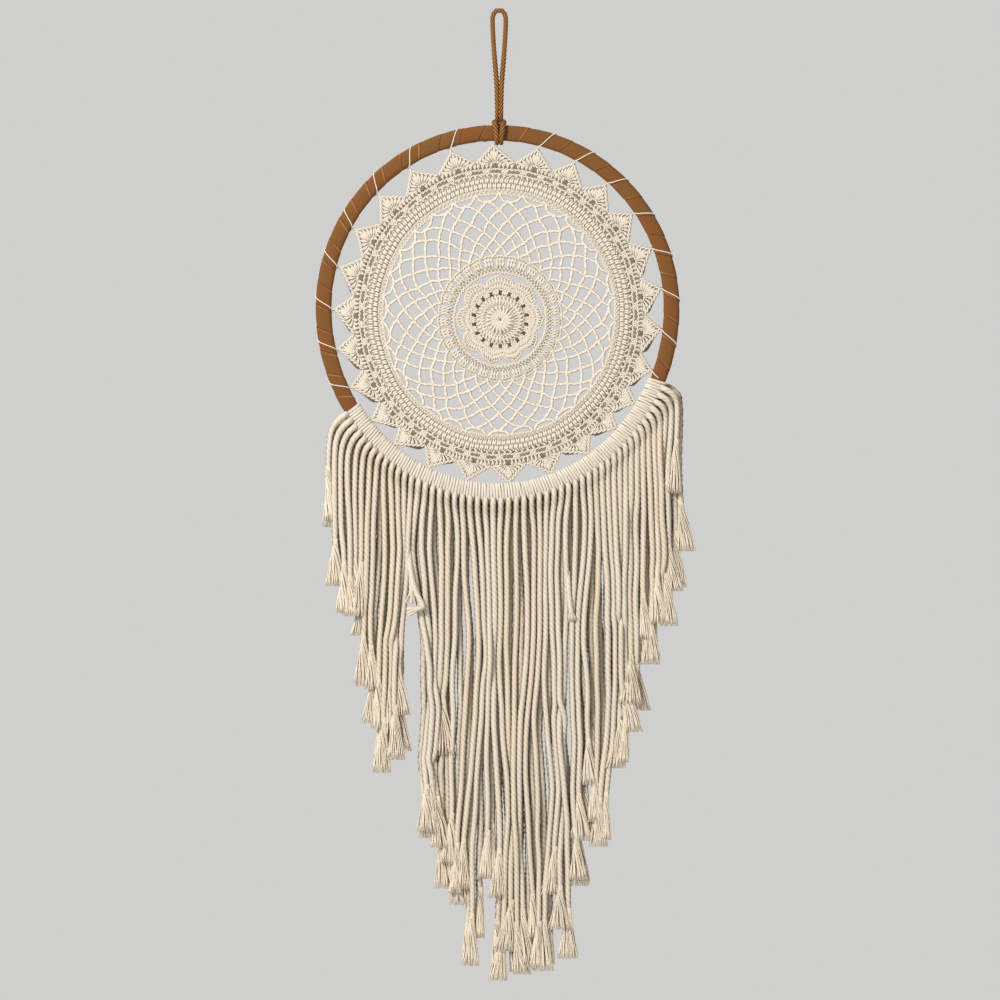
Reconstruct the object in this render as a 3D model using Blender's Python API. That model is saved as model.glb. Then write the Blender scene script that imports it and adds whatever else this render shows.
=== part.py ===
"""Macrame wall hanging: a suede-bound hoop on a cord loop, with a crochet doily laced inside it
and a fringe of knotted cotton cords below.

Frame: metres, +Z up, +X to the right as seen from the front, the front faces -Y. The origin is
the inside top of the hanging loop, where the nail or hook bears. The hoop lies in the plane y = 0.
"""

import math

import bmesh
import bpy
import numpy as np
from mathutils.geometry import delaunay_2d_cdt

MM = 0.001

# Hoop: centre line of the ring, drawn a little egg-shaped by the weight of the fringe.
HOOP_X = -1.2 * MM
HOOP_Z = -245.0 * MM
HOOP_HALF_WIDTH = 144.4 * MM
HOOP_HALF_TOP = 145.3 * MM
HOOP_HALF_BOTTOM = 153.6 * MM
RING_HALF_BREADTH = 6.2 * MM
RING_HALF_DEPTH = 3.6 * MM
RING_FLAT_SIDE = 1.9 * MM
RING_FLAT_FACE = 3.4 * MM
WRAPS = 51
WRAP_LAP = 0.45 * MM
WRAP_SEAM_SHARE = 0.1

# Knot band: lark's-head knots side by side on the lower arc of the hoop.
BAND_START = math.radians(213.0)
BAND_END = math.radians(337.0)
KNOTS = 52
BAND_CLEARANCE = 0.45 * MM
KNOT_VALLEY = 1.35 * MM
KNOT_CREST = 2.1 * MM
BAND_LINING_STEPS = 26

# Fringe: two cords from each knot, one in the front row and one in the back row.
CORD_HALF_WIDTH = 1.8 * MM
CORD_HALF_DEPTH = 1.95 * MM
ROW_DEPTH = 2.2 * MM
ROOT_OFFSET = 7.0 * MM
ROOT_SCALE = 0.6
CORD_SHIFT = 0.22
LOWEST_KNOT = 24
LEFT_PITCH = 5.45 * MM
RIGHT_PITCH = 4.8 * MM
FLARE_LENGTH = 22.0 * MM
FLARE_HALF_WIDTH = 5.0 * MM
FLARE_HALF_DEPTH = 2.0 * MM
GATHER_MOST = 0.2 * MM
GATHER_LENGTH = 120.0 * MM
CORD_SWAY = 0.1 * MM
BACK_ROW_SHORTER = 7.0 * MM
STRAND_GAP = 0.3 * MM

# Partings in the fringe: where the cords stand apart and how wide, in mm from the origin.
PARTINGS = (
    # x, half width, top z, bottom z
    (-66.5, 1.9, -450.0, -640.0),
    (57.5, 1.9, -480.0, -700.0),
    (22.5, 1.2, -500.0, -700.0),
)
PARTING_REACH = 26.0 * MM

# Frayed ends: the x of each tassel and the z of its lowest yarn, in mm, from left to right.
TASSELS = (
    # x, bottom z
    (-141, -427), (-137, -476), (-126, -500), (-115, -501), (-109, -517), (-108, -559),
    (-99, -590), (-91, -631), (-81, -620), (-77, -583), (-76, -613), (-57, -685),
    (-46, -727), (-43, -616), (-34, -741), (-25, -727), (-20, -791), (-7, -735), (-1, -803),
    (13, -798), (22, -790), (37, -795), (44, -732), (56, -785), (61, -725), (69, -687),
    (75, -641), (85, -692), (95, -627), (97, -572), (107, -597), (116, -572), (124, -541),
    (129, -507), (139, -509), (144, -481), (150, -399), (154, -447),
)

# Hanging loop: right half of the cord's centre line, mirrored for the left half.
# From the top of the loop down the leg, behind the hoop, under it, up its front and round behind
# the legs again.
LOOP_X = 0.1 * MM
LOOP_ROUTE = (
    # x, y, z in mm, and the cord's radius there
    (0.0, 0.0, 1.95, 1.95),
    (2.9, 0.0, 1.2, 1.95),
    (5.1, 0.0, -2.5, 1.95),
    (5.5, 0.0, -7.6, 1.95),
    (5.2, 0.0, -16.0, 1.95),
    (4.6, 0.0, -26.7, 1.95),
    (3.7, 0.0, -39.0, 1.95),
    (2.6, 0.0, -51.6, 1.85),
    (1.95, 0.0, -62.4, 1.7),
    (1.8, 0.0, -72.0, 1.6),
    (1.7, 0.0, -79.0, 1.5),
    (1.7, 0.4, -84.0, 1.45),
    (1.65, 2.4, -88.6, 1.4),
    (1.65, 4.9, -92.4, 1.4),
    (1.7, 5.8, -98.0, 1.4),
    (1.7, 5.6, -103.8, 1.4),
    (1.75, 3.6, -107.6, 1.4),
    (1.8, 0.0, -108.15, 1.4),
    (1.8, -3.6, -107.6, 1.4),
    (2.0, -5.7, -103.4, 1.45),
    (2.7, -5.9, -98.0, 1.5),
    (3.9, -4.8, -93.2, 1.5),
    (4.9, -1.6, -91.3, 1.45),
    (5.1, 2.2, -89.8, 1.4),
    (3.9, 6.0, -87.2, 1.4),
    (0.0, 6.9, -85.6, 1.4),
)
LOOP_RING_SPACING = 2.5 * MM
LOOP_TWIST_PITCH = 20.0 * MM
LOOP_PLIES = 3
LOOP_GROOVE = 0.82

# Doily: radii at rest; the work is drawn up and out a little towards its rim.
ROSETTE_X = 1.2 * MM
ROSETTE_Z = -255.0 * MM
RIM_SHIFT_X = -1.2 * MM
RIM_LIFT = 4.8 * MM
RIM_STRETCH = 0.042
RIM_RADIUS = 103.0 * MM
NET_CELLS = 31
NET_ROUNDS = tuple(radius * MM for radius in (51.5, 57.5, 64.0, 70.5, 77.5, 84.2, 91.0, 97.4))
CHAIN_WIDTH = 2.0 * MM
CHAIN_HALF_DEPTH = 0.9 * MM
ROSETTE_PETALS = 9
PETAL_VALLEY_RADIUS = 29.0 * MM
MOON_RADIUS = 36.4 * MM
MOON_HALF_ANGLE = math.radians(15.5)
VALLEY_RADIUS = 120.8 * MM
TIP_CENTRE_X = 0.0 * MM
TIP_CENTRE_Z = -250.0 * MM
TIP_HALF_WIDTH = 135.4 * MM
TIP_HALF_HEIGHT = 139.6 * MM
TIP_HALF_THICKNESS = 1.3 * MM
TIP_CLEARANCE = 9.2 * MM

# Bearings of the fan tips, clockwise from the top, about the middle of the hoop.
FAN_TIPS = tuple(math.radians(bearing) for bearing in (
    14.3, 27.8, 41.3, 55.1, 69.0, 83.3, 97.5, 112.1, 124.5, 135.4, 148.1, 162.0, 176.3,
    190.1, 203.3, 216.8, 228.0, 241.5, 255.4, 269.4, 284.4, 298.9, 313.5, 327.8, 343.5, 358.5))

# Relief of the doily: plain rounds of the work, each with its points and its half thickness.
RELIEF_ROUNDS = (
    # radius in mm, points, half thickness in mm
    (11.5, 9, 1.5),
    (20.0, 18, 1.35),
    (22.8, 18, 0.8),
    (25.8, 18, 1.3),
    (42.2, 31, 1.0),
    (46.5, 31, 1.3),
    (50.2, 31, 1.0),
    (100.3, 40, 1.4),
    (103.0, 40, 1.05),
    (113.6, 40, 1.4),
    (116.4, 40, 1.0),
)
CENTRE_HALF_DEPTH = 1.45 * MM
PETAL_HALF_DEPTH = 1.25 * MM
FAN_HALF_DEPTH = 1.0 * MM
TIP_HALF_DEPTH = 1.0 * MM

# Lacing: the turns of thread that hold the fan tips to the bare part of the hoop.
THREAD_HALF = 0.42 * MM
THREAD_OFFSET = 1.25 * MM
THREAD_FRONT_SWEEP = math.radians(4.1)
THREAD_TUCK_SWEEP = math.radians(1.5)
THREAD_END_SWEEP = math.radians(13.0)
LACED_RIGHT = (0, 7)
LACED_LEFT = (17, 24)

SEED = 5

COTTON = ("cotton_cord", (0.80, 0.73, 0.62), 0.9)
CROCHET = ("crochet_cotton", (0.84, 0.78, 0.68), 0.88)
SUEDE = ("brown_suede", (0.25, 0.11, 0.045), 0.85)
LOOP_CORD = ("brown_cord", (0.30, 0.14, 0.07), 0.8)


def clear_scene():
    """Remove every object of the scene that the file opens with."""
    for old in list(bpy.data.objects):
        bpy.data.objects.remove(old, do_unlink=True)


def make_material(finish):
    """Return a Principled material of a finish: its name, colour and roughness."""
    name, colour, roughness = finish
    material = bpy.data.materials.new(name)
    material.use_nodes = True
    shader = material.node_tree.nodes["Principled BSDF"]
    shader.inputs["Base Color"].default_value = (*colour, 1.0)
    shader.inputs["Roughness"].default_value = roughness
    shader.inputs["Metallic"].default_value = 0.0
    return material


def make_object(name, points, faces, finish):
    """Link a new mesh object, its faces turned outwards."""
    mesh = bpy.data.meshes.new(name)
    mesh.from_pydata([tuple(point) for point in points], [], [tuple(face) for face in faces])
    shell = bmesh.new()
    shell.from_mesh(mesh)
    bmesh.ops.triangulate(shell, faces=shell.faces[:])
    bmesh.ops.recalc_face_normals(shell, faces=shell.faces[:])
    shell.to_mesh(mesh)
    shell.free()
    mesh.materials.append(make_material(finish))
    made = bpy.data.objects.new(name, mesh)
    bpy.context.scene.collection.objects.link(made)
    return made


def tube_faces(rings, sides, closed, first=0):
    """Faces of a tube of rings of equal sides, capped unless it closes on itself."""
    faces = []
    spans = rings if closed else rings - 1
    for ring in range(spans):
        here = first + ring * sides
        there = first + (ring + 1) % rings * sides
        for side in range(sides):
            after = (side + 1) % sides
            faces.append((here + side, here + after, there + after, there + side))
    if not closed:
        faces.append(tuple(first + side for side in reversed(range(sides))))
        faces.append(tuple(first + (rings - 1) * sides + side for side in range(sides)))
    return faces


# --- the hoop's oval and what is bound round it ---------------------------------------------


def hoop_frame(angle):
    """Centre line point and outward normal of the hoop, in x and z, at the oval's parameter."""
    height = HOOP_HALF_TOP if math.sin(angle) >= 0.0 else HOOP_HALF_BOTTOM
    centre = np.array((HOOP_X + HOOP_HALF_WIDTH * math.cos(angle), HOOP_Z + height * math.sin(angle)))
    normal = np.array((math.cos(angle) / HOOP_HALF_WIDTH, math.sin(angle) / height))
    return centre, normal / np.linalg.norm(normal)


def ring_section(offset):
    """The ring's eight-sided section grown by an offset: radial and depth of each corner."""
    chamfer = math.atan2(RING_HALF_BREADTH - RING_FLAT_FACE, RING_HALF_DEPTH - RING_FLAT_SIDE)
    breadth = RING_HALF_BREADTH + offset
    depth = RING_HALF_DEPTH + offset
    side = RING_FLAT_SIDE + offset * math.tan((math.pi / 2.0 - chamfer) / 2.0)
    face = RING_FLAT_FACE + offset * math.tan(chamfer / 2.0)
    return (
        (-face, -depth), (face, -depth), (breadth, -side), (breadth, side),
        (face, depth), (-face, depth), (-breadth, side), (-breadth, -side),
    )


def hoop_point(angle, radial, depth):
    """A point beside the hoop's centre line, by its distance outwards and its depth."""
    centre, normal = hoop_frame(angle)
    place = centre + normal * radial
    return (place[0], depth, place[1])


def in_band(angle, margin=0.0):
    """Whether an angle lies on the knotted arc, widened by a margin."""
    turned = angle % (2.0 * math.pi)
    return BAND_START - margin < turned < BAND_END + margin


def make_hoop():
    """The bound ring: each slanted turn of the lace laps over the one before it."""
    pitch = 2.0 * math.pi / WRAPS
    corners = len(ring_section(0.0))
    points = []
    for wrap in range(WRAPS):
        for share, lap in ((0.0, 0.0), (1.0 - WRAP_SEAM_SHARE, WRAP_LAP)):
            for corner in range(corners):
                turn = wrap + share + corner / corners
                angle = math.pi / 2.0 - turn * pitch
                lift = 0.0 if in_band(angle, 2.0 * pitch / corners) else lap
                points.append(hoop_point(angle, *ring_section(lift)[corner]))
    rings = 2 * WRAPS
    faces = []
    for ring in range(rings):
        for corner in range(corners):
            after = (corner + 1) % corners
            step = 2 if after == 0 else 0
            faces.append((
                ring * corners + corner,
                (ring + step) % rings * corners + after,
                (ring + 1 + step) % rings * corners + after,
                (ring + 1) % rings * corners + corner,
            ))
    return make_object("hoop", points, faces, SUEDE)


def band_angles(count):
    """Parameters that part the knotted arc into equal lengths, from left to right."""
    fine = np.linspace(BAND_START, BAND_END, 721)
    places = np.array([hoop_frame(angle)[0] for angle in fine])
    run = np.concatenate(([0.0], np.cumsum(np.linalg.norm(np.diff(places, axis=0), axis=1))))
    return np.interp(np.linspace(0.0, run[-1], count + 1), run, fine)


def make_band():
    """The knotted sleeve round the hoop: a ridge for each knot outside, a plain bore inside."""
    outer = band_angles(2 * KNOTS)
    inner = band_angles(BAND_LINING_STEPS)
    corners = len(ring_section(0.0))
    points = []
    for ring, angle in enumerate(outer):
        offset = KNOT_CREST if ring % 2 else KNOT_VALLEY
        points.extend(hoop_point(angle, *corner) for corner in ring_section(offset))
    for angle in inner:
        points.extend(hoop_point(angle, *corner) for corner in ring_section(BAND_CLEARANCE))
    lining = len(outer) * corners
    skin = tube_faces(len(outer), corners, True)[:(len(outer) - 1) * corners]
    bore = tube_faces(len(inner), corners, True, lining)[:(len(inner) - 1) * corners]
    faces = skin + [tuple(reversed(face)) for face in bore]
    last_outer = (len(outer) - 1) * corners
    last_inner = lining + (len(inner) - 1) * corners
    for corner in range(corners):
        after = (corner + 1) % corners
        faces.append((corner, lining + corner, lining + after, after))
        faces.append((last_outer + corner, last_outer + after, last_inner + after, last_inner + corner))
    return make_object("fringe", points, faces, COTTON)


# --- the fringe -----------------------------------------------------------------------------


def parting_shift(x, z):
    """How far a cord at x is pushed aside at each height z by the partings near it."""
    shift = np.zeros_like(z)
    for middle, half, top, bottom in PARTINGS:
        aside = x - middle * MM
        open_share = np.clip((top * MM - z) / (40.0 * MM), 0.0, 1.0)
        close_share = np.clip((z - bottom * MM) / (60.0 * MM), 0.0, 1.0)
        reach = math.copysign(half * MM, aside) * math.exp(-abs(aside) / PARTING_REACH)
        shift += reach * open_share * np.maximum(close_share, 0.35)
    return shift


def hanging_lines(roots):
    """Where the cords of a row hang: plumb below their roots, or a cord's pitch further out."""
    lines = roots.copy()
    for knot in range(LOWEST_KNOT + 1, KNOTS):
        lines[knot] = lines[knot - 1] + max(roots[knot] - roots[knot - 1], RIGHT_PITCH)
    for knot in range(LOWEST_KNOT - 1, -1, -1):
        lines[knot] = lines[knot + 1] - max(roots[knot + 1] - roots[knot], LEFT_PITCH)
    return lines


def plan_fringe():
    """Root, hanging line and lower end of each cord, row by row from left to right."""
    draw = np.random.default_rng(SEED)
    edges = band_angles(KNOTS)
    tassel_x = np.array([tassel[0] for tassel in TASSELS]) * MM
    tassel_z = np.array([tassel[1] for tassel in TASSELS]) * MM
    plans = []
    for row, side in (("front", -1.0), ("back", 1.0)):
        angles = edges[:-1] + (edges[1:] - edges[:-1]) * (0.5 + side * CORD_SHIFT)
        roots = np.array([hoop_point(angle, ROOT_OFFSET, 0.0)[0] for angle in angles])
        for angle, line in zip(angles, hanging_lines(roots)):
            hang = line + draw.uniform(-CORD_SWAY, CORD_SWAY)
            nearest = int(np.argmin(np.abs(tassel_x - hang)))
            shorter = draw.uniform(0.3, 1.0) * BACK_ROW_SHORTER if row == "back" else 0.0
            shorter += draw.uniform(0.0, 2.0) * MM
            plans.append({
                "row": row, "depth": side * ROW_DEPTH, "angle": angle, "hang": hang,
                "gather": float(np.clip(tassel_x[nearest] - hang, -GATHER_MOST, GATHER_MOST)),
                "end": tassel_z[nearest] + shorter,
            })
    return plans


def cord_line(plan, drops):
    """Centre points in x and z: out of the hoop along its normal, then round into the plumb."""
    centre, normal = hoop_frame(plan["angle"])
    root = centre + normal * ROOT_OFFSET
    aside = plan["hang"] - root[0]
    slope = normal[0] / -normal[1]
    easing = np.clip(aside / slope if abs(slope) > 1e-6 else 20.0 * MM, 4.0 * MM, 60.0 * MM)
    z = root[1] - drops
    x = root[0] + aside * (1.0 - np.exp(-drops / easing))
    x = x + parting_shift(plan["hang"], z)
    low = np.clip(1.0 - (z - plan["end"]) / GATHER_LENGTH, 0.0, 1.0)
    return np.column_stack((x + plan["gather"] * low * low, z))


def cord_stations(plan):
    """Drops below the root at which a cord has a ring, the last two holding the frayed end."""
    centre, normal = hoop_frame(plan["angle"])
    length = centre[1] + normal[1] * ROOT_OFFSET - plan["end"]
    tuft = length - FLARE_LENGTH
    if plan["row"] == "front":
        return np.array((0.0, 3.0 * MM, 12.0 * MM, 0.5 * tuft, tuft, length))
    return np.array((0.0, 7.0 * MM, tuft, length))


def end_room(plan, plans):
    """Free half widths to the left and right of a cord's frayed end, in its own row."""
    level = plan["end"]
    here = cord_line(plan, np.array([cord_stations(plan)[-1]]))[0, 0]
    room = [FLARE_HALF_WIDTH, FLARE_HALF_WIDTH]
    for other in plans:
        if other is plan or other["row"] != plan["row"] or other["end"] > level + FLARE_LENGTH:
            continue
        stations = cord_stations(other)
        root = stations[-1] + other["end"]
        for z in (level, level + FLARE_LENGTH / 2.0):
            there = cord_line(other, np.array([min(root - z, stations[-1])]))[0, 0]
            half = CORD_HALF_WIDTH
            if other["end"] > level - FLARE_LENGTH:
                half = (abs(there - here) - STRAND_GAP) / 2.0
            side = 1 if there > here else 0
            room[side] = min(room[side], abs(there - here) - half - STRAND_GAP)
    return room


def make_cords(plans):
    """All the hanging cords in one mesh: diamonds in the front row, three-sided behind."""
    points = []
    faces = []
    for plan in plans:
        drops = cord_stations(plan)
        line = cord_line(plan, drops)
        ahead = cord_line(plan, drops + 0.5 * MM) - cord_line(plan, np.maximum(drops - 0.5 * MM, 0.0))
        ahead /= np.linalg.norm(ahead, axis=1)[:, None]
        ahead[0] = hoop_frame(plan["angle"])[1]
        across = np.column_stack((-ahead[:, 1], ahead[:, 0]))
        left, right = end_room(plan, plans)
        left_half = np.full(len(drops), CORD_HALF_WIDTH)
        right_half = left_half.copy()
        deep_half = np.full(len(drops), CORD_HALF_DEPTH)
        for half in (left_half, right_half, deep_half):
            half[0] *= ROOT_SCALE
        left_half[-1], right_half[-1] = max(left, CORD_HALF_WIDTH), max(right, CORD_HALF_WIDTH)
        deep_half[-1] = FLARE_HALF_DEPTH
        first = len(points)
        if plan["row"] == "front":
            corners = ((-1, 0), (0, -1), (1, 0), (0, 1))
        else:
            corners = ((-1, -1), (1, -1), (0, 1))
        for ring, (x, z) in enumerate(line):
            for wide, deep in corners:
                reach = (right_half if wide > 0 else left_half)[ring] * wide
                depth = plan["depth"] + deep * deep_half[ring]
                points.append((x + across[ring, 0] * reach, depth, z + across[ring, 1] * reach))
        faces.extend(tube_faces(len(drops), len(corners), False, first))
    return make_object("fringe_cords", points, faces, COTTON)


def make_fringe():
    """The knotted sleeve with its cords grown into it as one piece."""
    band = make_band()
    cords = make_cords(plan_fringe())
    cords.hide_render = True
    cords.display_type = "WIRE"
    union = band.modifiers.new("cords", "BOOLEAN")
    union.operation = "UNION"
    union.object = cords
    return band


# --- the hanging loop -----------------------------------------------------------------------


def spline(points, spacing):
    """Even steps along a closed Catmull-Rom curve through rows of values, place in three."""
    rows = len(points)
    curve = []
    for row in range(rows):
        before, start, end, after = (points[(row + shift) % rows] for shift in (-1, 0, 1, 2))
        for share in np.linspace(0.0, 1.0, 40, endpoint=False):
            curve.append(0.5 * (
                2.0 * start + (end - before) * share
                + (2.0 * before - 5.0 * start + 4.0 * end - after) * share ** 2
                + (3.0 * start - before - 3.0 * end + after) * share ** 3))
    curve = np.array(curve + [curve[0]])
    run = np.concatenate(([0.0], np.cumsum(np.linalg.norm(np.diff(curve[:, :3], axis=0), axis=1))))
    steps = int(round(run[-1] / spacing))
    at = np.linspace(0.0, run[-1], steps, endpoint=False)
    return np.column_stack([np.interp(at, run, column) for column in curve.T]), run[-1]


def make_hanging_loop():
    """A closed cord of three twisted plies: each ply is a ridge that winds along the cord."""
    half = np.array(LOOP_ROUTE) * MM
    mirrored = half[-2:0:-1] * np.array((-1.0, 1.0, 1.0, 1.0))
    rows, length = spline(np.vstack((half, mirrored)), LOOP_RING_SPACING)
    places, radii = rows[:, :3] + np.array((LOOP_X, 0.0, 0.0)), rows[:, 3]
    ahead = np.roll(places, -1, axis=0) - np.roll(places, 1, axis=0)
    ahead /= np.linalg.norm(ahead, axis=1)[:, None]
    aside = [np.array((0.0, 1.0, 0.0))]
    for step in range(1, len(places) + 1):
        direction = ahead[step % len(places)]
        carried = aside[-1] - direction * aside[-1].dot(direction)
        aside.append(carried / np.linalg.norm(carried))
    last = aside.pop()
    drift = math.atan2(np.cross(last, aside[0]).dot(ahead[0]), last.dot(aside[0]))
    ply_turn = 2.0 * math.pi / LOOP_PLIES
    twist = ply_turn * round(LOOP_PLIES * length / LOOP_TWIST_PITCH) + drift
    sides = 2 * LOOP_PLIES
    points = []
    for step, place in enumerate(places):
        across = np.cross(ahead[step], aside[step])
        for side in range(sides):
            angle = 2.0 * math.pi * side / sides + twist * step / len(places)
            radius = radii[step] * (LOOP_GROOVE if side % 2 else 1.0)
            reach = aside[step] * math.cos(angle) + across * math.sin(angle)
            points.append(place + reach * radius)
    faces = tube_faces(len(places), sides, False)[:-2]
    shift = int(round(twist / (2.0 * math.pi / sides))) % sides
    seam = (len(places) - 1) * sides
    for side in range(sides):
        after = (side + 1) % sides
        faces.append((seam + side, seam + after, (after + shift) % sides, (side + shift) % sides))
    return make_object("hanging_loop", points, faces, LOOP_CORD)


# --- the doily ------------------------------------------------------------------------------


def doily_place(radius, bearing):
    """Where a point of the flat work lies once the doily is laced up, in x and z."""
    drawn = min(1.0, radius / RIM_RADIUS)
    lift = drawn ** 2
    stretch = 1.0 + RIM_STRETCH * drawn ** 1.5
    return np.array((
        ROSETTE_X + RIM_SHIFT_X * lift + radius * math.sin(bearing),
        ROSETTE_Z + RIM_LIFT * lift + radius * stretch * math.cos(bearing),
    ))


def tip_place(number):
    """Apex of a fan, on the oval that the tips reach but clear of the ring's centre line."""
    middle = np.array((HOOP_X, HOOP_Z))
    half = np.array((TIP_HALF_WIDTH, TIP_HALF_HEIGHT))
    start = (middle - np.array((TIP_CENTRE_X, TIP_CENTRE_Z))) / half
    way = np.array((math.sin(FAN_TIPS[number]), math.cos(FAN_TIPS[number]))) / half
    along = start.dot(way)
    run = (math.sqrt(along ** 2 + way.dot(way) * (1.0 - start.dot(start))) - along) / way.dot(way)
    tip = middle + way * half * run
    height = HOOP_HALF_TOP if tip[1] > HOOP_Z else HOOP_HALF_BOTTOM
    reach = (tip - middle) / np.array((HOOP_HALF_WIDTH - TIP_CLEARANCE, height - TIP_CLEARANCE))
    return middle + (tip - middle) / max(1.0, np.linalg.norm(reach))


def doily_outline():
    """The pointed rim: from each valley up to a blunt tip and down to the next valley."""
    outline = []
    for number, here in enumerate(FAN_TIPS):
        before = FAN_TIPS[number - 1] - (2.0 * math.pi if number == 0 else 0.0)
        tip = tip_place(number)
        across = np.array((math.cos(here), -math.sin(here)))
        outline.append(doily_place(VALLEY_RADIUS, (before + here) / 2.0))
        outline.append(tip - across * TIP_HALF_THICKNESS)
        outline.append(tip + across * TIP_HALF_THICKNESS)
    return outline


def net_holes():
    """The diamond gaps of the chain net, a half pitch on from round to round, then half moons."""
    pitch = 2.0 * math.pi / NET_CELLS
    holes = []
    for number in range(1, len(NET_ROUNDS) - 1):
        low, middle, high = NET_ROUNDS[number - 1:number + 2]
        for cell in range(NET_CELLS):
            bearing = (cell + number % 2 / 2.0) * pitch
            corners = np.array([
                doily_place(low, bearing), doily_place(middle, bearing - pitch / 2.0),
                doily_place(high, bearing), doily_place(middle, bearing + pitch / 2.0)])
            heart = corners.mean(axis=0)
            wide = np.linalg.norm(corners[3] - corners[1]) / 2.0
            tall = np.linalg.norm(corners[2] - corners[0]) / 2.0
            inset = 1.0 - CHAIN_WIDTH / 2.0 * math.hypot(wide, tall) / (wide * tall)
            holes.append(heart + (corners - heart) * inset)
    low, high = NET_ROUNDS[-2:]
    for cell in range(NET_CELLS):
        bearing = (cell + (len(NET_ROUNDS) - 1) % 2 / 2.0) * pitch
        holes.append(np.array([
            doily_place(low + 0.8 * CHAIN_WIDTH, bearing),
            doily_place(high - 1.1 * CHAIN_WIDTH / 2.0, bearing - 0.30 * pitch),
            doily_place(high, bearing),
            doily_place(high - 1.1 * CHAIN_WIDTH / 2.0, bearing + 0.30 * pitch)]))
    return holes


def moon_holes():
    """The gaps between neighbouring petals of the rosette and the ring round them."""
    pitch = 2.0 * math.pi / ROSETTE_PETALS
    holes = []
    for petal in range(ROSETTE_PETALS):
        bearing = (petal + 0.5) * pitch
        middle = (MOON_RADIUS + PETAL_VALLEY_RADIUS) / 2.0
        holes.append(np.array([
            doily_place(PETAL_VALLEY_RADIUS, bearing),
            doily_place(middle, bearing - 0.5 * MOON_HALF_ANGLE),
            doily_place(MOON_RADIUS - 0.6 * MM, bearing - MOON_HALF_ANGLE),
            doily_place(MOON_RADIUS, bearing),
            doily_place(MOON_RADIUS - 0.6 * MM, bearing + MOON_HALF_ANGLE),
            doily_place(middle, bearing + 0.5 * MOON_HALF_ANGLE)]))
    return holes


def inside(places, loop):
    """Whether each place lies within a closed loop, by counting the sides it is under."""
    crossed = np.zeros(len(places), dtype=bool)
    for start, end in zip(loop, np.roll(loop, -1, axis=0)):
        spans = (start[1] > places[:, 1]) != (end[1] > places[:, 1])
        rise = np.where(end[1] == start[1], 1.0, end[1] - start[1])
        at = start[0] + (places[:, 1] - start[1]) * (end[0] - start[0]) / rise
        crossed ^= spans & (places[:, 0] < at)
    return crossed


def doily_points():
    """Points of the doily with their half thickness, and the loops among them."""
    places = []
    halves = []
    loops = []

    def add_loop(loop, half):
        loops.append(list(range(len(places), len(places) + len(loop))))
        places.extend(loop)
        halves.extend([half] * len(loop))

    add_loop(doily_outline(), TIP_HALF_DEPTH)
    for hole in net_holes():
        add_loop(hole, CHAIN_HALF_DEPTH)
    for hole in moon_holes():
        add_loop(hole, PETAL_HALF_DEPTH)
    cut = len(loops)
    for radius, count, half in RELIEF_ROUNDS:
        add_loop([doily_place(radius * MM, 2.0 * math.pi * step / count) for step in range(count)],
                 half * MM)
    places.append(doily_place(0.0, 0.0))
    halves.append(CENTRE_HALF_DEPTH)
    for number, bearing in enumerate(FAN_TIPS):
        foot = doily_place(VALLEY_RADIUS, bearing)
        places.append(foot + (tip_place(number) - foot) * 0.5)
        halves.append(FAN_HALF_DEPTH * 1.35)
    return np.array(places), np.array(halves), loops, cut


def make_doily():
    """The crochet as one sheet: its gaps cut through, its rounds raised on both faces."""
    places, halves, loops, cut = doily_points()
    edges = [(loop[step], loop[(step + 1) % len(loop)]) for loop in loops for step in range(len(loop))]
    flat = [tuple(place * 1000.0) for place in places]
    verts, _, triangles, origin, _, _ = delaunay_2d_cdt(flat, edges, [], 0, 1e-6)
    verts = np.array([(vert.x, vert.y) for vert in verts]) / 1000.0
    halves = np.array([halves[source[0]] if source else CHAIN_HALF_DEPTH for source in origin])
    hearts = np.array([verts[list(triangle)].mean(axis=0) for triangle in triangles])
    kept = inside(hearts, places[loops[0]])
    for loop in loops[1:cut]:
        kept &= ~inside(hearts, places[loop])
    triangles = [triangle for triangle, keep in zip(triangles, kept) if keep]
    used = {}
    for triangle in triangles:
        for start, end in zip(triangle, (*triangle[1:], triangle[0])):
            used[(start, end)] = True
    rim = [edge for edge in used if (edge[1], edge[0]) not in used]
    count = len(verts)
    front = np.column_stack((verts[:, 0], -halves, verts[:, 1]))
    back = np.column_stack((verts[:, 0], halves, verts[:, 1]))
    faces = [tuple(triangle) for triangle in triangles]
    faces += [tuple(count + corner for corner in reversed(triangle)) for triangle in triangles]
    faces += [(start, start + count, end + count, end) for start, end in rim]
    return make_object("doily", np.vstack((front, back)), faces, CROCHET)


# --- the lacing -----------------------------------------------------------------------------


def tip_angle(number):
    """The hoop parameter that lies opposite a fan's tip."""
    tip = tip_place(number)
    height = HOOP_HALF_TOP if tip[1] > HOOP_Z else HOOP_HALF_BOTTOM
    return math.atan2((tip[1] - HOOP_Z) / height, (tip[0] - HOOP_X) / HOOP_HALF_WIDTH)


def lacing_route(first, last, tucked):
    """Points of one thread, corner by corner round the ring; a tucked end stops on its front."""
    section = ring_section(THREAD_OFFSET)
    around = (7, 0, 1, 2, 3, 4, 5, 6)
    route = []
    for number in range(first, last + 1):
        here = tip_angle(number)
        onward = THREAD_END_SWEEP
        if number < last:
            onward = (here - tip_angle(number + 1)) % (2.0 * math.pi)
        sweeps = [THREAD_FRONT_SWEEP * share for share in (0.0, 0.35, 1.0, 1.25)]
        sweeps += [sweeps[-1] + (onward - sweeps[-1]) * share for share in (0.12, 0.3, 0.78, 0.94)]
        if number == last and tucked:
            route.append(hoop_point(here, *section[7]))
            route.append(hoop_point(here - 0.5 * THREAD_TUCK_SWEEP, *section[0]))
            route.append(hoop_point(here - THREAD_TUCK_SWEEP, 0.0, section[0][1]))
            break
        for corner, sweep in zip(around, sweeps):
            route.append(hoop_point(here - sweep, *section[corner]))
    return np.array(route)


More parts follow.
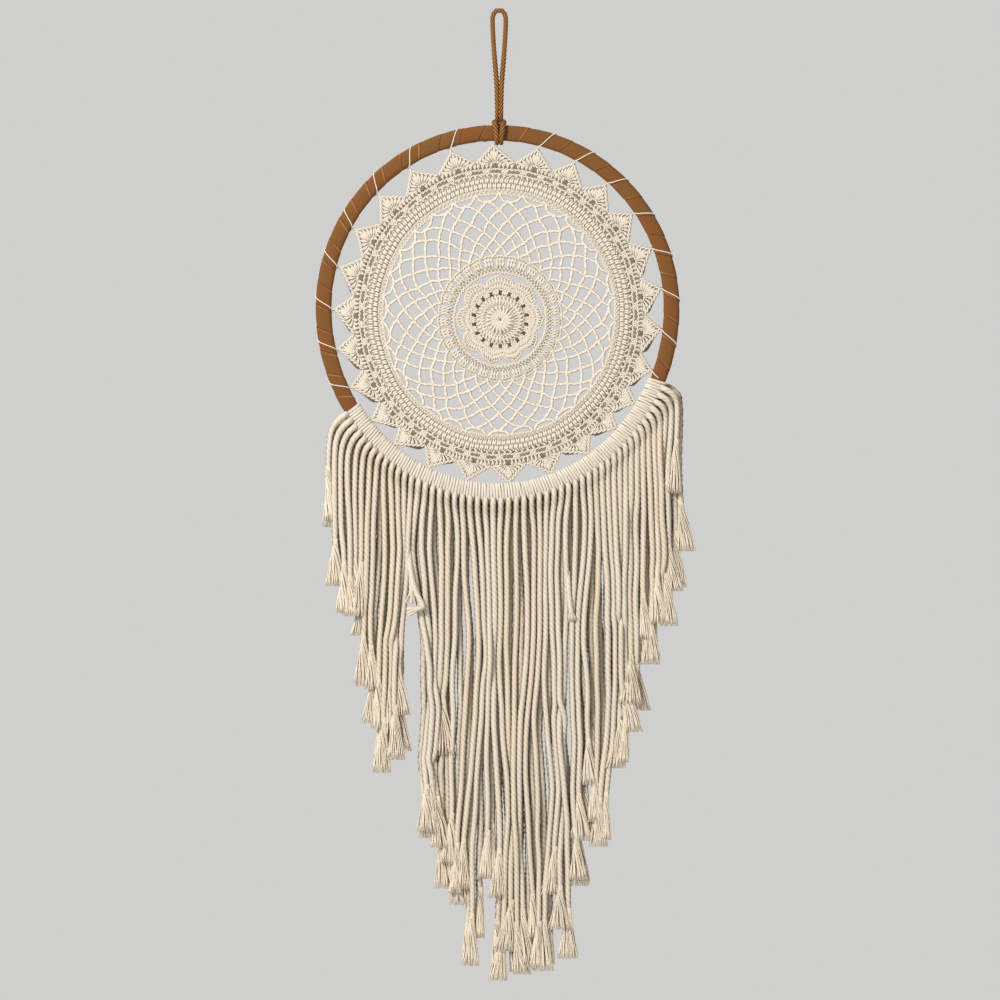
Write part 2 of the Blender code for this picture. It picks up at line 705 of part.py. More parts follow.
def make_lacing(name, first, last, tucked):
    """One thread: it passes each tip, slants over the front of the hoop and returns behind it."""
    route = lacing_route(first, last, tucked)
    ahead = np.gradient(route, axis=0)
    ahead /= np.linalg.norm(ahead, axis=1)[:, None]
    points = []
    for place, direction in zip(route, ahead):
        out = np.array((place[0] - HOOP_X, 0.0, place[2] - HOOP_Z))
        aside = np.cross(direction, out / np.linalg.norm(out))
        if np.linalg.norm(aside) < 0.3:
            aside = np.cross(direction, np.array((0.0, 1.0, 0.0)))
        aside /= np.linalg.norm(aside)
        across = np.cross(direction, aside)
        for wide, deep in ((-1.0, -0.6), (1.0, -0.6), (0.0, 1.0)):
            points.append(place + (aside * wide + across * deep) * THREAD_HALF)
    faces = tube_faces(len(route), 3, False)
    return make_object(name, points, faces, CROCHET)


def main():
    """Build the wall hanging."""
    clear_scene()
    make_hoop()
    make_hanging_loop()
    make_doily()
    make_lacing("lacing_right", *LACED_RIGHT, True)
    make_lacing("lacing_left", *LACED_LEFT, False)
    make_fringe()


main()
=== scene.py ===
"""Looks of the macrame wall hanging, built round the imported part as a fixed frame.

Units are metres, +Z up, the front faces -Y, and the origin is the inside top of the hanging loop.
Angles of the hoop run from +X towards +Z, and bearings in the doily from +Z towards +X.
"""

import math

import bpy
import numpy as np
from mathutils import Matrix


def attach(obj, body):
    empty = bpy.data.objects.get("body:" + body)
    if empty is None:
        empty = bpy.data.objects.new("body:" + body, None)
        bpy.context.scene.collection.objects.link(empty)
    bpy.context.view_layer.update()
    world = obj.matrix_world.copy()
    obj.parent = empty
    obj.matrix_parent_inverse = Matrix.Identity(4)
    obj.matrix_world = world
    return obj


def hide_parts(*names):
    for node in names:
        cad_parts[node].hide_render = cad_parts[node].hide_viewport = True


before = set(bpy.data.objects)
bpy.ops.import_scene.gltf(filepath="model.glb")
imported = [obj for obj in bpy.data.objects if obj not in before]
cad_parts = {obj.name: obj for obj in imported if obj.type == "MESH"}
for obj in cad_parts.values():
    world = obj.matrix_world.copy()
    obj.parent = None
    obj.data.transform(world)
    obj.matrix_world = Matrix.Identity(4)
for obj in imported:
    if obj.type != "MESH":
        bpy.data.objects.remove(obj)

bl_info = {
    "name": "Macrame wall hanging",
    "version": (1, 0, 0),
    "blender": (4, 5, 0),
    "location": "3D View > Sidebar > Hanging",
    "description": "Dresses the hoop, doily, knots, cords and loop of a macrame wall hanging",
    "category": "Object",
}

MM = 0.001
TURN = 2.0 * math.pi
DEEP = np.array((0.0, 1.0, 0.0))
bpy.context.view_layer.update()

# Hoop: the ring's centre line and section, as in the part.
HOOP_X = -1.2 * MM
HOOP_Z = -245.0 * MM
HOOP_HALF_WIDTH = 144.4 * MM
HOOP_HALF_TOP = 145.3 * MM
HOOP_HALF_BOTTOM = 153.6 * MM
RING_HALF_BREADTH = 6.2 * MM
RING_HALF_DEPTH = 3.6 * MM
RING_SQUARENESS = 2.9
RING_SIDES = 28
WRAPS = 51
WRAP_LAP = 0.5 * MM
WRAP_SEED = 11
WRAP_PROFILE = np.array((
    # share of a wrap, lift as a share of the lap, painted shadow where the wrap starts under the edge of
    # the one before (below 0: rubbed pale)
    (0.0, 0.0, 0.75),
    (0.012, 0.15, 0.4),
    (0.04, 0.35, 0.0),
    (0.35, 0.7, 0.0),
    (0.7, 0.9, 0.0),
    (0.9, 1.0, 0.0),
    (0.945, 1.0, -0.9),
    (0.985, 0.6, -0.7),
))

# Knot band: lark's-head knots side by side on the lower arc of the hoop.
BAND_START = math.radians(213.0)
BAND_END = math.radians(337.0)
KNOTS = 52
BAND_TURNS = 130
KNOT_SEED = 21
TURN_STEPS = 30
TURN_HALF = 1.36 * MM
TURN_THICKNESS = 1.12 * MM
TURN_REACH = 0.5 * MM
# Painted shade: dark for the plies' grooves, gap_dark for the flanks between neighbouring turns.
TURN_LOOKS = {"groove": 0.8, "dark": 0.24, "gap_dark": 0.5, "closed": True}
BAR_STEPS = 9
BAR_HALF_WIDTH = 1.7 * MM
BAR_HALF_THICKNESS = 1.2 * MM
BAR_LAY = -14.0 * MM
# Painted shade: dark for the plies' grooves, gap_dark for the bars' flanks.
BAR_LOOKS = {"groove": 0.74, "dark": 0.3, "gap_dark": 0.4}

# Fringe: two cords from each knot, one in the front row and one in the back row.
ROW_DEPTH = 2.2 * MM
ROOT_OFFSET = 7.0 * MM
CORD_SHIFT = 0.24
LOWEST_KNOT = 24
LEFT_PITCH = 5.45 * MM
RIGHT_PITCH = 4.8 * MM
GATHER_MOST = 3.5 * MM
DRAWN_MOST = 9.0 * MM
GATHER_LENGTH = 120.0 * MM
SPLAY_LEFT = 7.0 * MM
SPLAY_LEFT_KNOTS = 5.0
SPLAY_RIGHT = 1.0 * MM
SPLAY_RIGHT_KNOTS = 4.0
SHORTER_BY = 42.0 * MM
NEIGHBOUR_REACH = 6.5 * MM
ROW_PREFERENCE = 2.0 * MM
OUT_OF_REACH = 1.0

# Cords without a tassel of their own in TASSELS: which are cut nearly level with the next one.
EVEN_CUT_SHARE = 0.4
EVEN_CUT_KNOTS = 4
FULL_TASSEL_SHARE = 0.25

# Run of a cord: how it comes out of its knot, and how its section changes along it.
PLUMB_EASING = 20.0 * MM
EASING_LIMITS = (4.0 * MM, 60.0 * MM)
FRINGE_SEED = 5
CORD_SEED = 31
ROWS = {
    # step along a cord, size, slimmer in the knot by, painted shade in the knot, painted shade all along,
    # sides
    "front": (1.47 * MM, 1.0, 0.02, 0.0, 0.0, 9),
    "back": (1.9 * MM, 1.14, 0.2, 0.7, 0.03, 6),
}
# Painted shade: dark for the plies' grooves, gap_dark for the flanks towards the neighbouring cords.
CORD_LOOKS = {"groove": 0.875, "dark": 0.16, "gap_dark": 1.0}
KNOT_BULGE = 3.9 * MM
BULGE_DROP = 1.5 * MM
BULGE_LENGTH = 8.0 * MM
KNOT_LENGTH = 20.0 * MM
KNOT_DROP_STEP = 1.0 * MM
KNOT_EASING = 16.0 * MM
SLIM_LENGTH = 14.0 * MM
# Length over which the painted shade in the knot fades.
KNOT_SHADE_FADE_LENGTH = 22.0 * MM
END_TAPER = 0.4
END_TAPER_LENGTH = 6.0 * MM
SETTLED_SIZE = 0.98
STRAY_SIZE = 0.86
INSIDE_KNOT = (
    # outwards from the hoop's centre line and forwards, in mm
    (5.0, 2.6),
    (6.1, 5.2),
)

# Partings in the fringe, in mm from the origin.
PARTINGS = (
    # x, half width, top z, bottom z
    (-71.5, 9.0, -445.0, -640.0),
    (58.5, 5.8, -498.0, -665.0),
    (22.5, 1.2, -500.0, -700.0),
)
PARTING_REACH = 26.0 * MM
PARTING_OPENS_IN = 75.0 * MM
PARTING_CLOSES_IN = 60.0 * MM
PARTING_LEFT_OPEN = 0.35

# Bunching: neighbouring cords lean together in slow waves across and down the fringe.
BUNCHES = (
    # size in mm, knots and metres for a whole wave, phase
    (3.4, 9.3, 0.52, 0.4),
    (2.6, 6.1, -0.34, 2.1),
    (2.0, 19.0, 0.9, 4.0),
)
BACK_BUNCHING = 0.5

# Wandering: each cord's own waves, by the length of a wave in metres and its greatest size in mm.
WANDERS = ((0.36, 1.5), (0.19, 1.2), (0.1, 0.7), (0.055, 0.3))
WANDER_EASING = 45.0 * MM

# Settling: the levels at which cords push each other apart, and how strongly.
SETTLING_SEED = 8
LEVEL_TOP = -0.325
LEVEL_BOTTOM = -0.812
LEVEL_STEP = 0.003
SETTLING_ROUNDS = 30
PUSH_SHARE = 0.42
DEPTH_SHARE = 0.8
HOMING_SHARE = 0.08
DEPTH_MOST = 5.6 * MM

# Frayed ends: the x of each tassel and the z of its lowest yarn, in mm, from left to right.
TASSELS = (
    # x, bottom z
    (-141, -427), (-137, -476), (-126, -500), (-115, -501), (-109, -517), (-108, -559),
    (-99, -590), (-91, -631), (-81, -620), (-77, -583), (-76, -613), (-57, -685),
    (-46, -727), (-43, -616), (-34, -741), (-25, -727), (-20, -791), (-7, -735), (-1, -803),
    (13, -798), (22, -790), (37, -795), (44, -732), (56, -785), (61, -725), (69, -687),
    (75, -641), (85, -692), (95, -627), (97, -572), (107, -597), (124, -541),
    (129, -507), (139, -509), (146, -480), (150, -399), (154, -447),
)
TASSEL_LAYERS = (
    # depth in the cord's section, shift aside in yarns
    (-1.0, 0.0),
    (0.0, 1.0),
    (1.0, 0.3),
)
TASSEL_ROW = 12
TASSEL_RINGS = 9
TASSEL_START = 10.0 * MM
TASSEL_SECTION = 0.84

# Stray ends: short cords that lie in front of their neighbours, from their hidden top down.
STRAY_ENDS = (
    # x, y, z in mm
    ((-75.0, -1.5, -436.0), (-74.2, -5.2, -456.0), (-71.6, -6.9, -473.0), (-67.6, -7.5, -483.5),
     (-63.6, -7.6, -490.5), (-63.2, -9.2, -494.0), (-67.0, -10.2, -494.2), (-70.6, -9.6, -495.6)),
    ((-72.6, -1.0, -452.0), (-72.8, -5.0, -466.0), (-72.6, -6.3, -480.0), (-73.4, -6.8, -485.0)),
    ((57.2, -1.0, -462.0), (57.6, -4.9, -478.0), (58.8, -6.0, -491.0), (60.4, -6.2, -499.0)),
)
STRAY_FRAY = 8.5 * MM
STRAY_STEP = 1.4 * MM
STRAY_YARNS = 22
STRAY_YARN_HALF = 0.6 * MM
STRAY_YARN_START = 2.6 * MM
# Painted shade: dark for the plies' grooves, gap_dark for the flanks.
STRAY_LOOKS = {"groove": 0.87, "dark": 0.16, "gap_dark": 0.5}

# Hanging loop: right half of the cord's centre line, mirrored for the left half.
LOOP_X = 0.1 * MM
LOOP_LAY = 17.0 * MM
LOOP_STEP = 0.7 * MM
LOOP_PLIES = 5
LOOP_SIDES = 25
LOOP_ROUTE = (
    # x, y, z in mm, and the cord's radius there
    (0.0, 0.0, 1.95, 1.95),
    (2.9, 0.0, 1.2, 1.95),
    (5.1, 0.0, -2.5, 1.95),
    (5.5, 0.0, -7.6, 1.95),
    (5.2, 0.0, -16.0, 1.95),
    (4.6, 0.0, -26.7, 1.95),
    (3.7, 0.0, -39.0, 1.95),
    (2.6, 0.0, -51.6, 1.85),
    (1.95, 0.0, -62.4, 1.7),
    (1.8, 0.0, -72.0, 1.6),
    (1.7, 0.0, -79.0, 1.5),
    (1.7, 0.4, -84.0, 1.45),
    (1.65, 2.4, -88.6, 1.4),
    (1.65, 4.9, -92.4, 1.4),
    (1.7, 5.8, -98.0, 1.4),
    (1.7, 5.6, -103.8, 1.4),
    (1.75, 3.6, -107.6, 1.4),
    (1.8, 0.0, -108.15, 1.4),
    (1.8, -3.6, -107.6, 1.4),
    (2.1, -5.9, -103.4, 1.55),
    (2.9, -6.1, -98.6, 1.7),
    (3.4, -5.8, -95.2, 1.7),
    (3.9, -3.2, -92.0, 1.55),
    (4.3, 0.6, -91.0, 1.5),
    (4.3, 4.0, -90.4, 1.45),
    (2.9, 7.0, -89.2, 1.4),
    (0.0, 7.9, -88.4, 1.4),
)

# Doily: radii at rest; the work is drawn up and out a little towards its rim.
ROSETTE_X = 1.2 * MM
ROSETTE_Z = -255.0 * MM
RIM_SHIFT_X = -1.2 * MM
RIM_LIFT = 4.8 * MM
RIM_STRETCH = 0.042
RIM_RADIUS = 103.0 * MM
UNEVENNESS = 0.22 * MM
EVEN_BEYOND = 30.0 * MM
CHAIN_STEP = 1.25 * MM
NET_CELLS = 31

# Rounds of stitches in the order of working, each by its kind and sizes in mm:
# tall: stitches, turned by, inner and outer radius, half thickness, turns, rings, phase, swell
# band: stitches, turned by, inner and outer radius
# short: stitches, turned by, inner and outer radius, half thickness, width
# chain: points, radius, half thickness, length of a link
ROSETTE_ROUNDS = (
    ("tall", 20, 0.0, 0.8, 12.6, 0.55, 0.9, 6, 0.1, 1.9),
    ("tall", 36, 0.0, 13.0, 19.6, 0.86, 0.9, 6, 0.1, 1.15),
    ("short", 34, 0.0, 12.2, 14.0, 0.66, 2.4),
    ("short", 44, 0.0, 19.0, 20.6, 0.66, 2.7),
    ("tall", 18, 0.29, 20.3, 24.4, 0.66, 0.6),
    ("tall", 18, 0.5, 20.3, 24.4, 0.66, 0.6),
    ("tall", 18, 0.71, 20.3, 24.4, 0.66, 0.6),
    ("chain", 120, 24.7, 0.66, 3.0),
)
CLUSTER_ROUNDS = (
    ("chain", 120, 38.4, 0.72, 3.0),
    ("short", 84, 0.0, 38.9, 40.8, 0.68, 2.7),
    ("short", 84, 0.5, 40.8, 42.8, 0.7, 2.8),
    ("tall", NET_CELLS, -0.255, 42.4, 50.2, 0.76, 1.1, 7, 0.1, 1.08),
    ("tall", NET_CELLS, 0.0, 42.4, 50.2, 0.76, 1.1, 7, 0.1, 1.08),
    ("tall", NET_CELLS, 0.255, 42.4, 50.2, 0.76, 1.1, 7, 0.1, 1.08),
)
RIM_ROUNDS = (
    ("chain", 240, 96.6, 0.66, 3.2),
    ("short", 170, 0.0, 97.0, 98.6, 0.7, 2.9),
    ("short", 170, 0.5, 98.6, 100.4, 0.72, 2.9),
    ("band", 164, 0.0, 100.5, 104.4),
    ("band", 164, 0.5, 104.6, 108.4),
    ("short", 170, 0.3, 108.2, 109.8, 0.72, 3.0),
    ("tall", 144, 0.0, 109.4, 111.4, 1.0, 0.4, 3, 0.1),
    ("chain", 240, 111.9, 0.62, 3.4),
)
EDGE_ROUNDS = (("chain", 240, 115.7, 0.66, 3.4),)
BAND_STITCH_HALF = 0.95 * MM
BAND_STITCH_LEAN = (-0.002, 0.004)

# Windings of the other tall stitches: turns, rings, phase, then swell, gap and painted shade on the flanks
# if given.
BAND_WINDING = (0.08, 4, -0.04, 1.04, 0.84, 0.04)
PETAL_INNER_WINDING = (0.6, 4, 0.2, 1.1)
PETAL_OUTER_WINDING = (0.6, 4, 0.3, 1.1)
NET_KNOT_WINDING = (0.4, 3, 0.1)
SPOKE_WINDING = (0.6, 5, 0.1, 1.5, 0.85, 0.26)

# Hearts of the dense rounds: dark strips behind the stitches, the back strands painted in shade and
# painted shade seen through the gaps and eyelets; no two that meet have the same half thickness.
ROSETTE_HEARTS = (
    # points, radius, half width and half thickness in mm, painted shade
    (60, 10.3, 10.0, 0.18, 0.5),
    (60, 22.4, 2.4, 0.13, 1.0),
)
CLUSTER_HEARTS = ((120, 40.4, 1.9, 0.12, 0.66),)
RIM_HEARTS = (
    (240, 98.4, 2.0, 0.15, 0.45),
    (240, 106.0, 5.8, 0.19, 0.74),
    (240, 113.9, 2.0, 0.11, 0.8),
    (240, 118.3, 2.5, 0.17, 0.85),
)

# Petals of the rosette and the clusters round it.
PETALS = tuple(math.radians(bearing) for bearing in (0, 45, 88, 128, 160, 193, 232, 270, 313))
PETAL_FOOT = 25.0
PETAL_STITCH_HALF = 0.72 * MM
PETAL_HEART = np.array((1.0, 3.2, 4.6, 5.2, 5.6, 5.9, 5.6, 5.2, 4.6, 3.2, 1.0)) * MM
PETAL_HEART_HALF = 0.16 * MM
SCALLOP_HALF = 0.66 * MM
SCALLOP_LINK = 2.6 * MM
CLUSTER_RADII = (42.4, 50.2)
CLUSTER_HEART_SHARE = 0.31
CLUSTER_HEART_RADIUS = 46.0 * MM
CLUSTER_HEART_HALF = 0.17 * MM
CLUSTER_CAP = (50.6, 0.9)  # radius and bow in mm

# Chain net between the clusters and the rim.
NET_ROUNDS = tuple(radius * MM for radius in (51.5, 57.5, 64.0, 70.8, 78.0, 85.4, 92.2, 97.4))
NET_SEED = 14
NET_SLIP = 0.14
NET_SWING = 1.2 * MM
NET_TWISTS = 2.4
NET_STRAND_SHIFT = 0.44 * MM
NET_STRAND_HALF = 0.98 * MM
NET_KNOT_REACH = (-1.4 * MM, 1.5 * MM)
NET_KNOT_HALVES = (1.25, 1.25, 1.25, 0.95, 0.95, 0.95, 0.95)

# Pointed fans at the rim, and the oval that their tips reach.
VALLEY_RADIUS = 120.8 * MM
TIP_CENTRE_X = 0.0 * MM
TIP_CENTRE_Z = -250.0 * MM
TIP_HALF_WIDTH = 135.4 * MM
TIP_HALF_HEIGHT = 139.6 * MM
TIP_CLEARANCE = 9.2 * MM
FAN_TIPS = tuple(math.radians(bearing) for bearing in (
    14.3, 27.8, 41.3, 55.1, 69.0, 83.3, 97.5, 112.1, 124.5, 135.4, 148.1, 162.0, 176.3,
    190.1, 203.3, 216.8, 228.0, 241.5, 255.4, 269.4, 284.4, 298.9, 313.5, 327.8, 343.5, 358.5))
LINK_ASIDES = (-1.8, 0.0, 1.8)
LINK_RADIUS = 113.7
LINK_RADII = (112.0 * MM, 115.6 * MM)
LINK_HALF = 0.76 * MM
FAN_RADIUS = 118.7
FAN_PLAIN_HALF = 14.3
FAN_FEET = np.array((-12.6, -9.4, -6.2, -3.2, 3.2, 6.2, 9.4, 12.6)) / FAN_RADIUS
FAN_FEET_RADII = (116.2 * MM, 120.6 * MM)
FAN_STITCH_HALF = 0.78 * MM
FAN_ARCH = (120.4, 0.9)  # radius and bow in mm
FAN_ARCH_ASIDES = np.linspace(-4.4, 4.4, 5) / FAN_RADIUS
FAN_ARCH_HALF = 0.62 * MM
FAN_ARCH_LINK = 2.8 * MM
SPOKE_FOOT_RADIUS = 119.6 * MM
SPOKE_ENDS = np.array((0.06, 0.26, 0.45, 0.63, 0.82))[:, None]
SPOKE_STARTS = np.linspace(4.6, 2.2, 5)  # mm from the foot, from the outermost inwards
TIP_SPOKE_START = 2.0
SPOKE_REACH = 0.93
SPOKE_HALF = 0.56 * MM
EDGE_HALF = 0.84 * MM
EDGE_LINK = 3.6 * MM
FAN_HEART = (
    # share of the way from the foot to the tip, share of the half width
    (-0.28, 0.95),
    (0.0, 0.92),
    (0.12, 0.84),
    (0.45, 0.52),
    (0.9, 0.08),
)
FAN_HEART_HALF = 0.08 * MM
KNOB_REACH = (1.2 * MM, 2.0 * MM)  # short of the tip and past it

# Lacing: the turns of thread that hold the fan tips to the bare part of the hoop.
THREAD_FRONT_SWEEP = math.radians(4.1)
THREAD_TUCK_SWEEP = math.radians(1.5)
THREAD_LAST_SWEEP = math.radians(13.0)
THREAD_TIP_DEPTH = -0.9 * MM
THREAD_STEP = 1.2 * MM
THREAD_SIDES = 5
THREAD_FRONT = np.array((
    # turn round the section (inner edge 0.5, front 0.75, outer edge 1.0), share of the front sweep
    (0.53, 0.0), (0.58, 0.06), (0.65, 0.22), (0.75, 0.5), (0.85, 0.78), (0.92, 0.94), (0.97, 1.0)))
THREAD_BACK = np.array((
    # turn round the section (back 1.25, inner edge 1.5), share of the way on to the next tip
    (1.05, 0.04), (1.15, 0.2), (1.25, 0.45), (1.35, 0.7), (1.43, 0.9), (1.47, 0.97)))
THREAD_TUCKED = 4  # points of the front pass that a tucked end follows
LACED_RIGHT = (0, 7)
LACED_LEFT = (17, 24)

# Camera: square to the front, far away, so that the picture is 830 mm wide and high.
VIEW_CENTRE = (0.8 * MM, -404.4 * MM)
VIEW_SIZE = 830.0 * MM
CAMERA_DISTANCE = 5.0
SENSOR_WIDTH = 36.0
CLIP_END = 100.0

# Studio: two soft lights and a round pale floor.
LIGHTS = (
    # name, place, aim, width, watts
    ("key", (-1.6, -2.1, 1.0), (0.0, 0.0, -0.35), 0.7, 92.0),
    ("rear", (1.2, 3.0, 0.8), (0.0, 0.0, -0.4), 1.4, 12.0),
)
FLOOR_Z = -0.93
FLOOR_SIDES = 96
FLOOR_PROFILE = (
    # radius, drop
    (0.02, 0.0),
    (0.7, 0.0),
    (0.72, 0.004),
    (0.72, 0.03),
    (0.02, 0.03),
)

# Cotton: scale of the fibres' noise and of the streaks along the plies.
CORD_COTTON = (2200.0, 2.2)
CROCHET_COTTON = (2600.0, 1.6)

# Painted light: the knot turns are the same cotton as the cords, painted paler; each part of the cords'
# colour is raised to this power.
KNOT_PAINTED_LIGHT_POWER = 0.8


# --- arrays into meshes -----------------------------------------------------------------------


def unit(vectors):
    """Each vector divided by its own length."""
    return vectors / np.maximum(np.linalg.norm(vectors, axis=-1, keepdims=True), 1e-12)


class Heap:
    """Points and faces of one piece, gathered tube by tube, with what its material reads."""

    def __init__(self):
        self.points, self.faces, self.caps = [], [], []
        self.strand, self.shade, self.cavity = [], [], []
        self.count = 0

    def add(self, points, faces, caps=(), strand=None, shade=0.5, cavity=0.0):
        """Take points of any grid shape, the four-sided faces over them and the end caps."""
        flat = points.reshape(-1, 3)
        self.points.append(flat)
        self.faces.append(faces + self.count)
        self.caps.extend(cap + self.count for cap in caps)
        self.strand.append(flat * 0.0 if strand is None else strand.reshape(-1, 3))
        self.shade.append(np.broadcast_to(shade, points.shape[:-1]).reshape(-1))
        self.cavity.append(np.broadcast_to(cavity, points.shape[:-1]).reshape(-1))
        self.count += len(flat)

    def mesh(self, name):
        """One mesh of all that was gathered, its faces turned outwards, smooth shaded."""
        points = np.concatenate(self.points)
        quads = np.concatenate(self.faces)
        first, second, third, fourth = (points[quads[:, corner]] for corner in range(4))
        volume = (first * (np.cross(second, third) + np.cross(third, fourth))).sum()
        order = -1 if volume < 0.0 else 1
        groups = [quads, *self.caps]
        loops = np.concatenate([group[:, ::order].reshape(-1) for group in groups])
        sizes = np.concatenate([np.full(len(group), group.shape[1]) for group in groups])
        mesh = bpy.data.meshes.new(name)
        mesh.vertices.add(len(points))
        mesh.vertices.foreach_set("co", points.astype(np.float32).ravel())
        mesh.loops.add(len(loops))
        mesh.loops.foreach_set("vertex_index", loops.astype(np.int32))
        mesh.polygons.add(len(sizes))
        starts = np.concatenate(([0], np.cumsum(sizes)[:-1]))
        mesh.polygons.foreach_set("loop_start", starts.astype(np.int32))
        mesh.polygons.foreach_set("loop_total", sizes.astype(np.int32))
        mesh.polygons.foreach_set("use_smooth", np.ones(len(sizes), dtype=bool))
        strand = mesh.attributes.new("strand", "FLOAT_VECTOR", "POINT")
        strand.data.foreach_set("vector", np.concatenate(self.strand).astype(np.float32).ravel())
        # Of these, the last carries painted shade above 0; below 0 it carries painted light on the cotton
        # and the loop cord, and rubbed wear on the suede.
        for key, values in (("shade", self.shade), ("cavity", self.cavity)):
            attribute = mesh.attributes.new(key, "FLOAT", "POINT")
            attribute.data.foreach_set("value", np.concatenate(values).astype(np.float32))
        mesh.update(calc_edges=True)
        mesh.validate()
        return mesh


def tube_faces(tubes, rings, sides, closed):
    """Faces of equal tubes laid out tube by tube and ring by ring, and the caps of open ones."""
    start = (np.arange(tubes) * rings * sides)[:, None, None]
    ring = np.arange(rings if closed else rings - 1)[None, :, None]
    side = np.arange(sides)[None, None, :]
    after = (side + 1) % sides
    here, there = start + ring * sides, start + (ring + 1) % rings * sides
    faces = np.stack(np.broadcast_arrays(here + side, here + after, there + after, there + side), -1)
    caps = []
    if not closed:
        first = start[:, 0] + np.arange(sides)[::-1]
        last = start[:, 0] + (rings - 1) * sides + np.arange(sides)
        caps = [np.concatenate((first, last))]
    return faces.reshape(-1, 4), caps


def line_run(line):
    """Length along a line up to each of its points."""
    return np.concatenate(([0.0], np.cumsum(np.linalg.norm(np.diff(line, axis=0), axis=1))))


def line_ahead(line, closed=False):
    """Unit vectors along a line, or along each of several."""
    if closed:
        return unit(np.roll(line, -1, axis=-2) - np.roll(line, 1, axis=-2))
    return unit(np.gradient(line, axis=-2))


def line_frame(line, closed=False):
    """Unit vectors at each point of a line: ahead, across it in the work's plane, and off it."""
    ahead = line_ahead(line, closed)
    across = unit(np.cross(ahead, DEEP))
    return ahead, across, np.cross(across, ahead)


def resample(line, spacing):
    """The line at even steps along its length."""
    run = line_run(line)
    steps = max(4, int(round(run[-1] / spacing)) + 1)
    at = np.linspace(0.0, run[-1], steps)
    return np.stack([np.interp(at, run, column) for column in line.T], -1)


def carry_section(line, across, up, wide, tall, angle):
    """Points round a line: point = line + across wide cos a + up tall sin a."""
    return (line[:, None] + across[:, None] * (wide * np.cos(angle))[..., None]
            + up[:, None] * (tall * np.sin(angle))[..., None])


def strand_places(angle, run):
    """What a cotton reads on a strand: cosine and sine of the place round it, and mm along it."""
    return np.stack(np.broadcast_arrays(np.cos(angle), np.sin(angle), run[..., None]), -1)


def wound(across, wind, wide, deep):
    """How far a winding strand lies off its line: across wide cos w + depth deep sin w."""
    return across * np.cos(wind) * wide + DEEP * np.sin(wind) * deep


def add_tubes(heap, lines, half, sides=4, closed=False, shade=None, blunt=0.6, dark=0.3, pale=0.0):
    """Carry a round section along each line: point = line + half * (across cos a + up sin a).

    lines is tubes x rings x 3 and half is the section's half thickness, one number or one for
    each ring. Open tubes draw in at both ends. The flanks of a strand, away from the front and
    the back of the work, get painted shade as far as dark says, and its length is painted paler as
    far as pale says, most at its end: painted light that lifts thin yarns out of their shade, and
    the paler look of combed-out tips.
    """
    tubes, rings = lines.shape[:2]
    _, across, up = line_frame(lines, closed)
    angle = np.arange(sides) * TURN / sides - TURN / 4.0
    half = np.broadcast_to(np.asarray(half, dtype=float), (tubes, rings)).copy()
    if not closed:
        half[:, [0, -1]] *= blunt
    out = across[:, :, None] * np.cos(angle)[:, None] + up[:, :, None] * np.sin(angle)[:, None]
    points = lines[:, :, None] + out * half[..., None, None]
    faces, caps = tube_faces(tubes, rings, sides, closed)
    run = np.cumsum(np.linalg.norm(np.diff(lines, axis=1, prepend=lines[:, :1]), axis=2), axis=1)
    if shade is None:
        shade = 0.2 + 0.6 * np.mod(np.arange(tubes) * 0.618 + 0.3 * rings, 1.0)
    shade = np.asarray(shade, dtype=float)[:, None, None]
    share = np.linspace(0.0, 1.0, rings)[None, :, None]
    # Painted shade on the flanks, and painted light along the length.
    cavity = dark * (1.0 - np.abs(out[..., 1])) - pale * (0.35 + 0.65 * share ** 2)
    heap.add(points, faces, caps, strand_places(angle, run / MM), shade, cavity)


def dress(name, heap, material, slot, *nodes):
    """Link a gathered piece, let it ride on the frame and stand for the CAD nodes it replaces."""
    mesh = heap.mesh(name)
    mesh.materials.append(material)
    piece = bpy.data.objects.new(name, mesh)
    bpy.context.scene.collection.objects.link(piece)
    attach(piece, "root")
    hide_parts(*nodes)
    return piece


# --- shaders as expressions -------------------------------------------------------------------


class Wire:
    """An output socket: arithmetic on it adds Math nodes to its tree."""

    def __init__(self, recipe, socket):
        self.recipe, self.socket = recipe, socket

    def math(self, operation, first, second):
        """A Math node over two numbers or wires."""
        return self.recipe.node("ShaderNodeMath", {"operation": operation}, {0: first, 1: second})

    def __add__(self, other):
        return self.math("ADD", self, other)

    __radd__ = __add__

    def __mul__(self, other):
        return self.math("MULTIPLY", self, other)

    __rmul__ = __mul__

    def __sub__(self, other):
        return self.math("SUBTRACT", self, other)

    def __rsub__(self, other):
        return self.math("SUBTRACT", other, self)

    def clamp(self):
        """The value held between 0 and 1."""
        return self.math("MAXIMUM", self.math("MINIMUM", self, 1.0), 0.0)


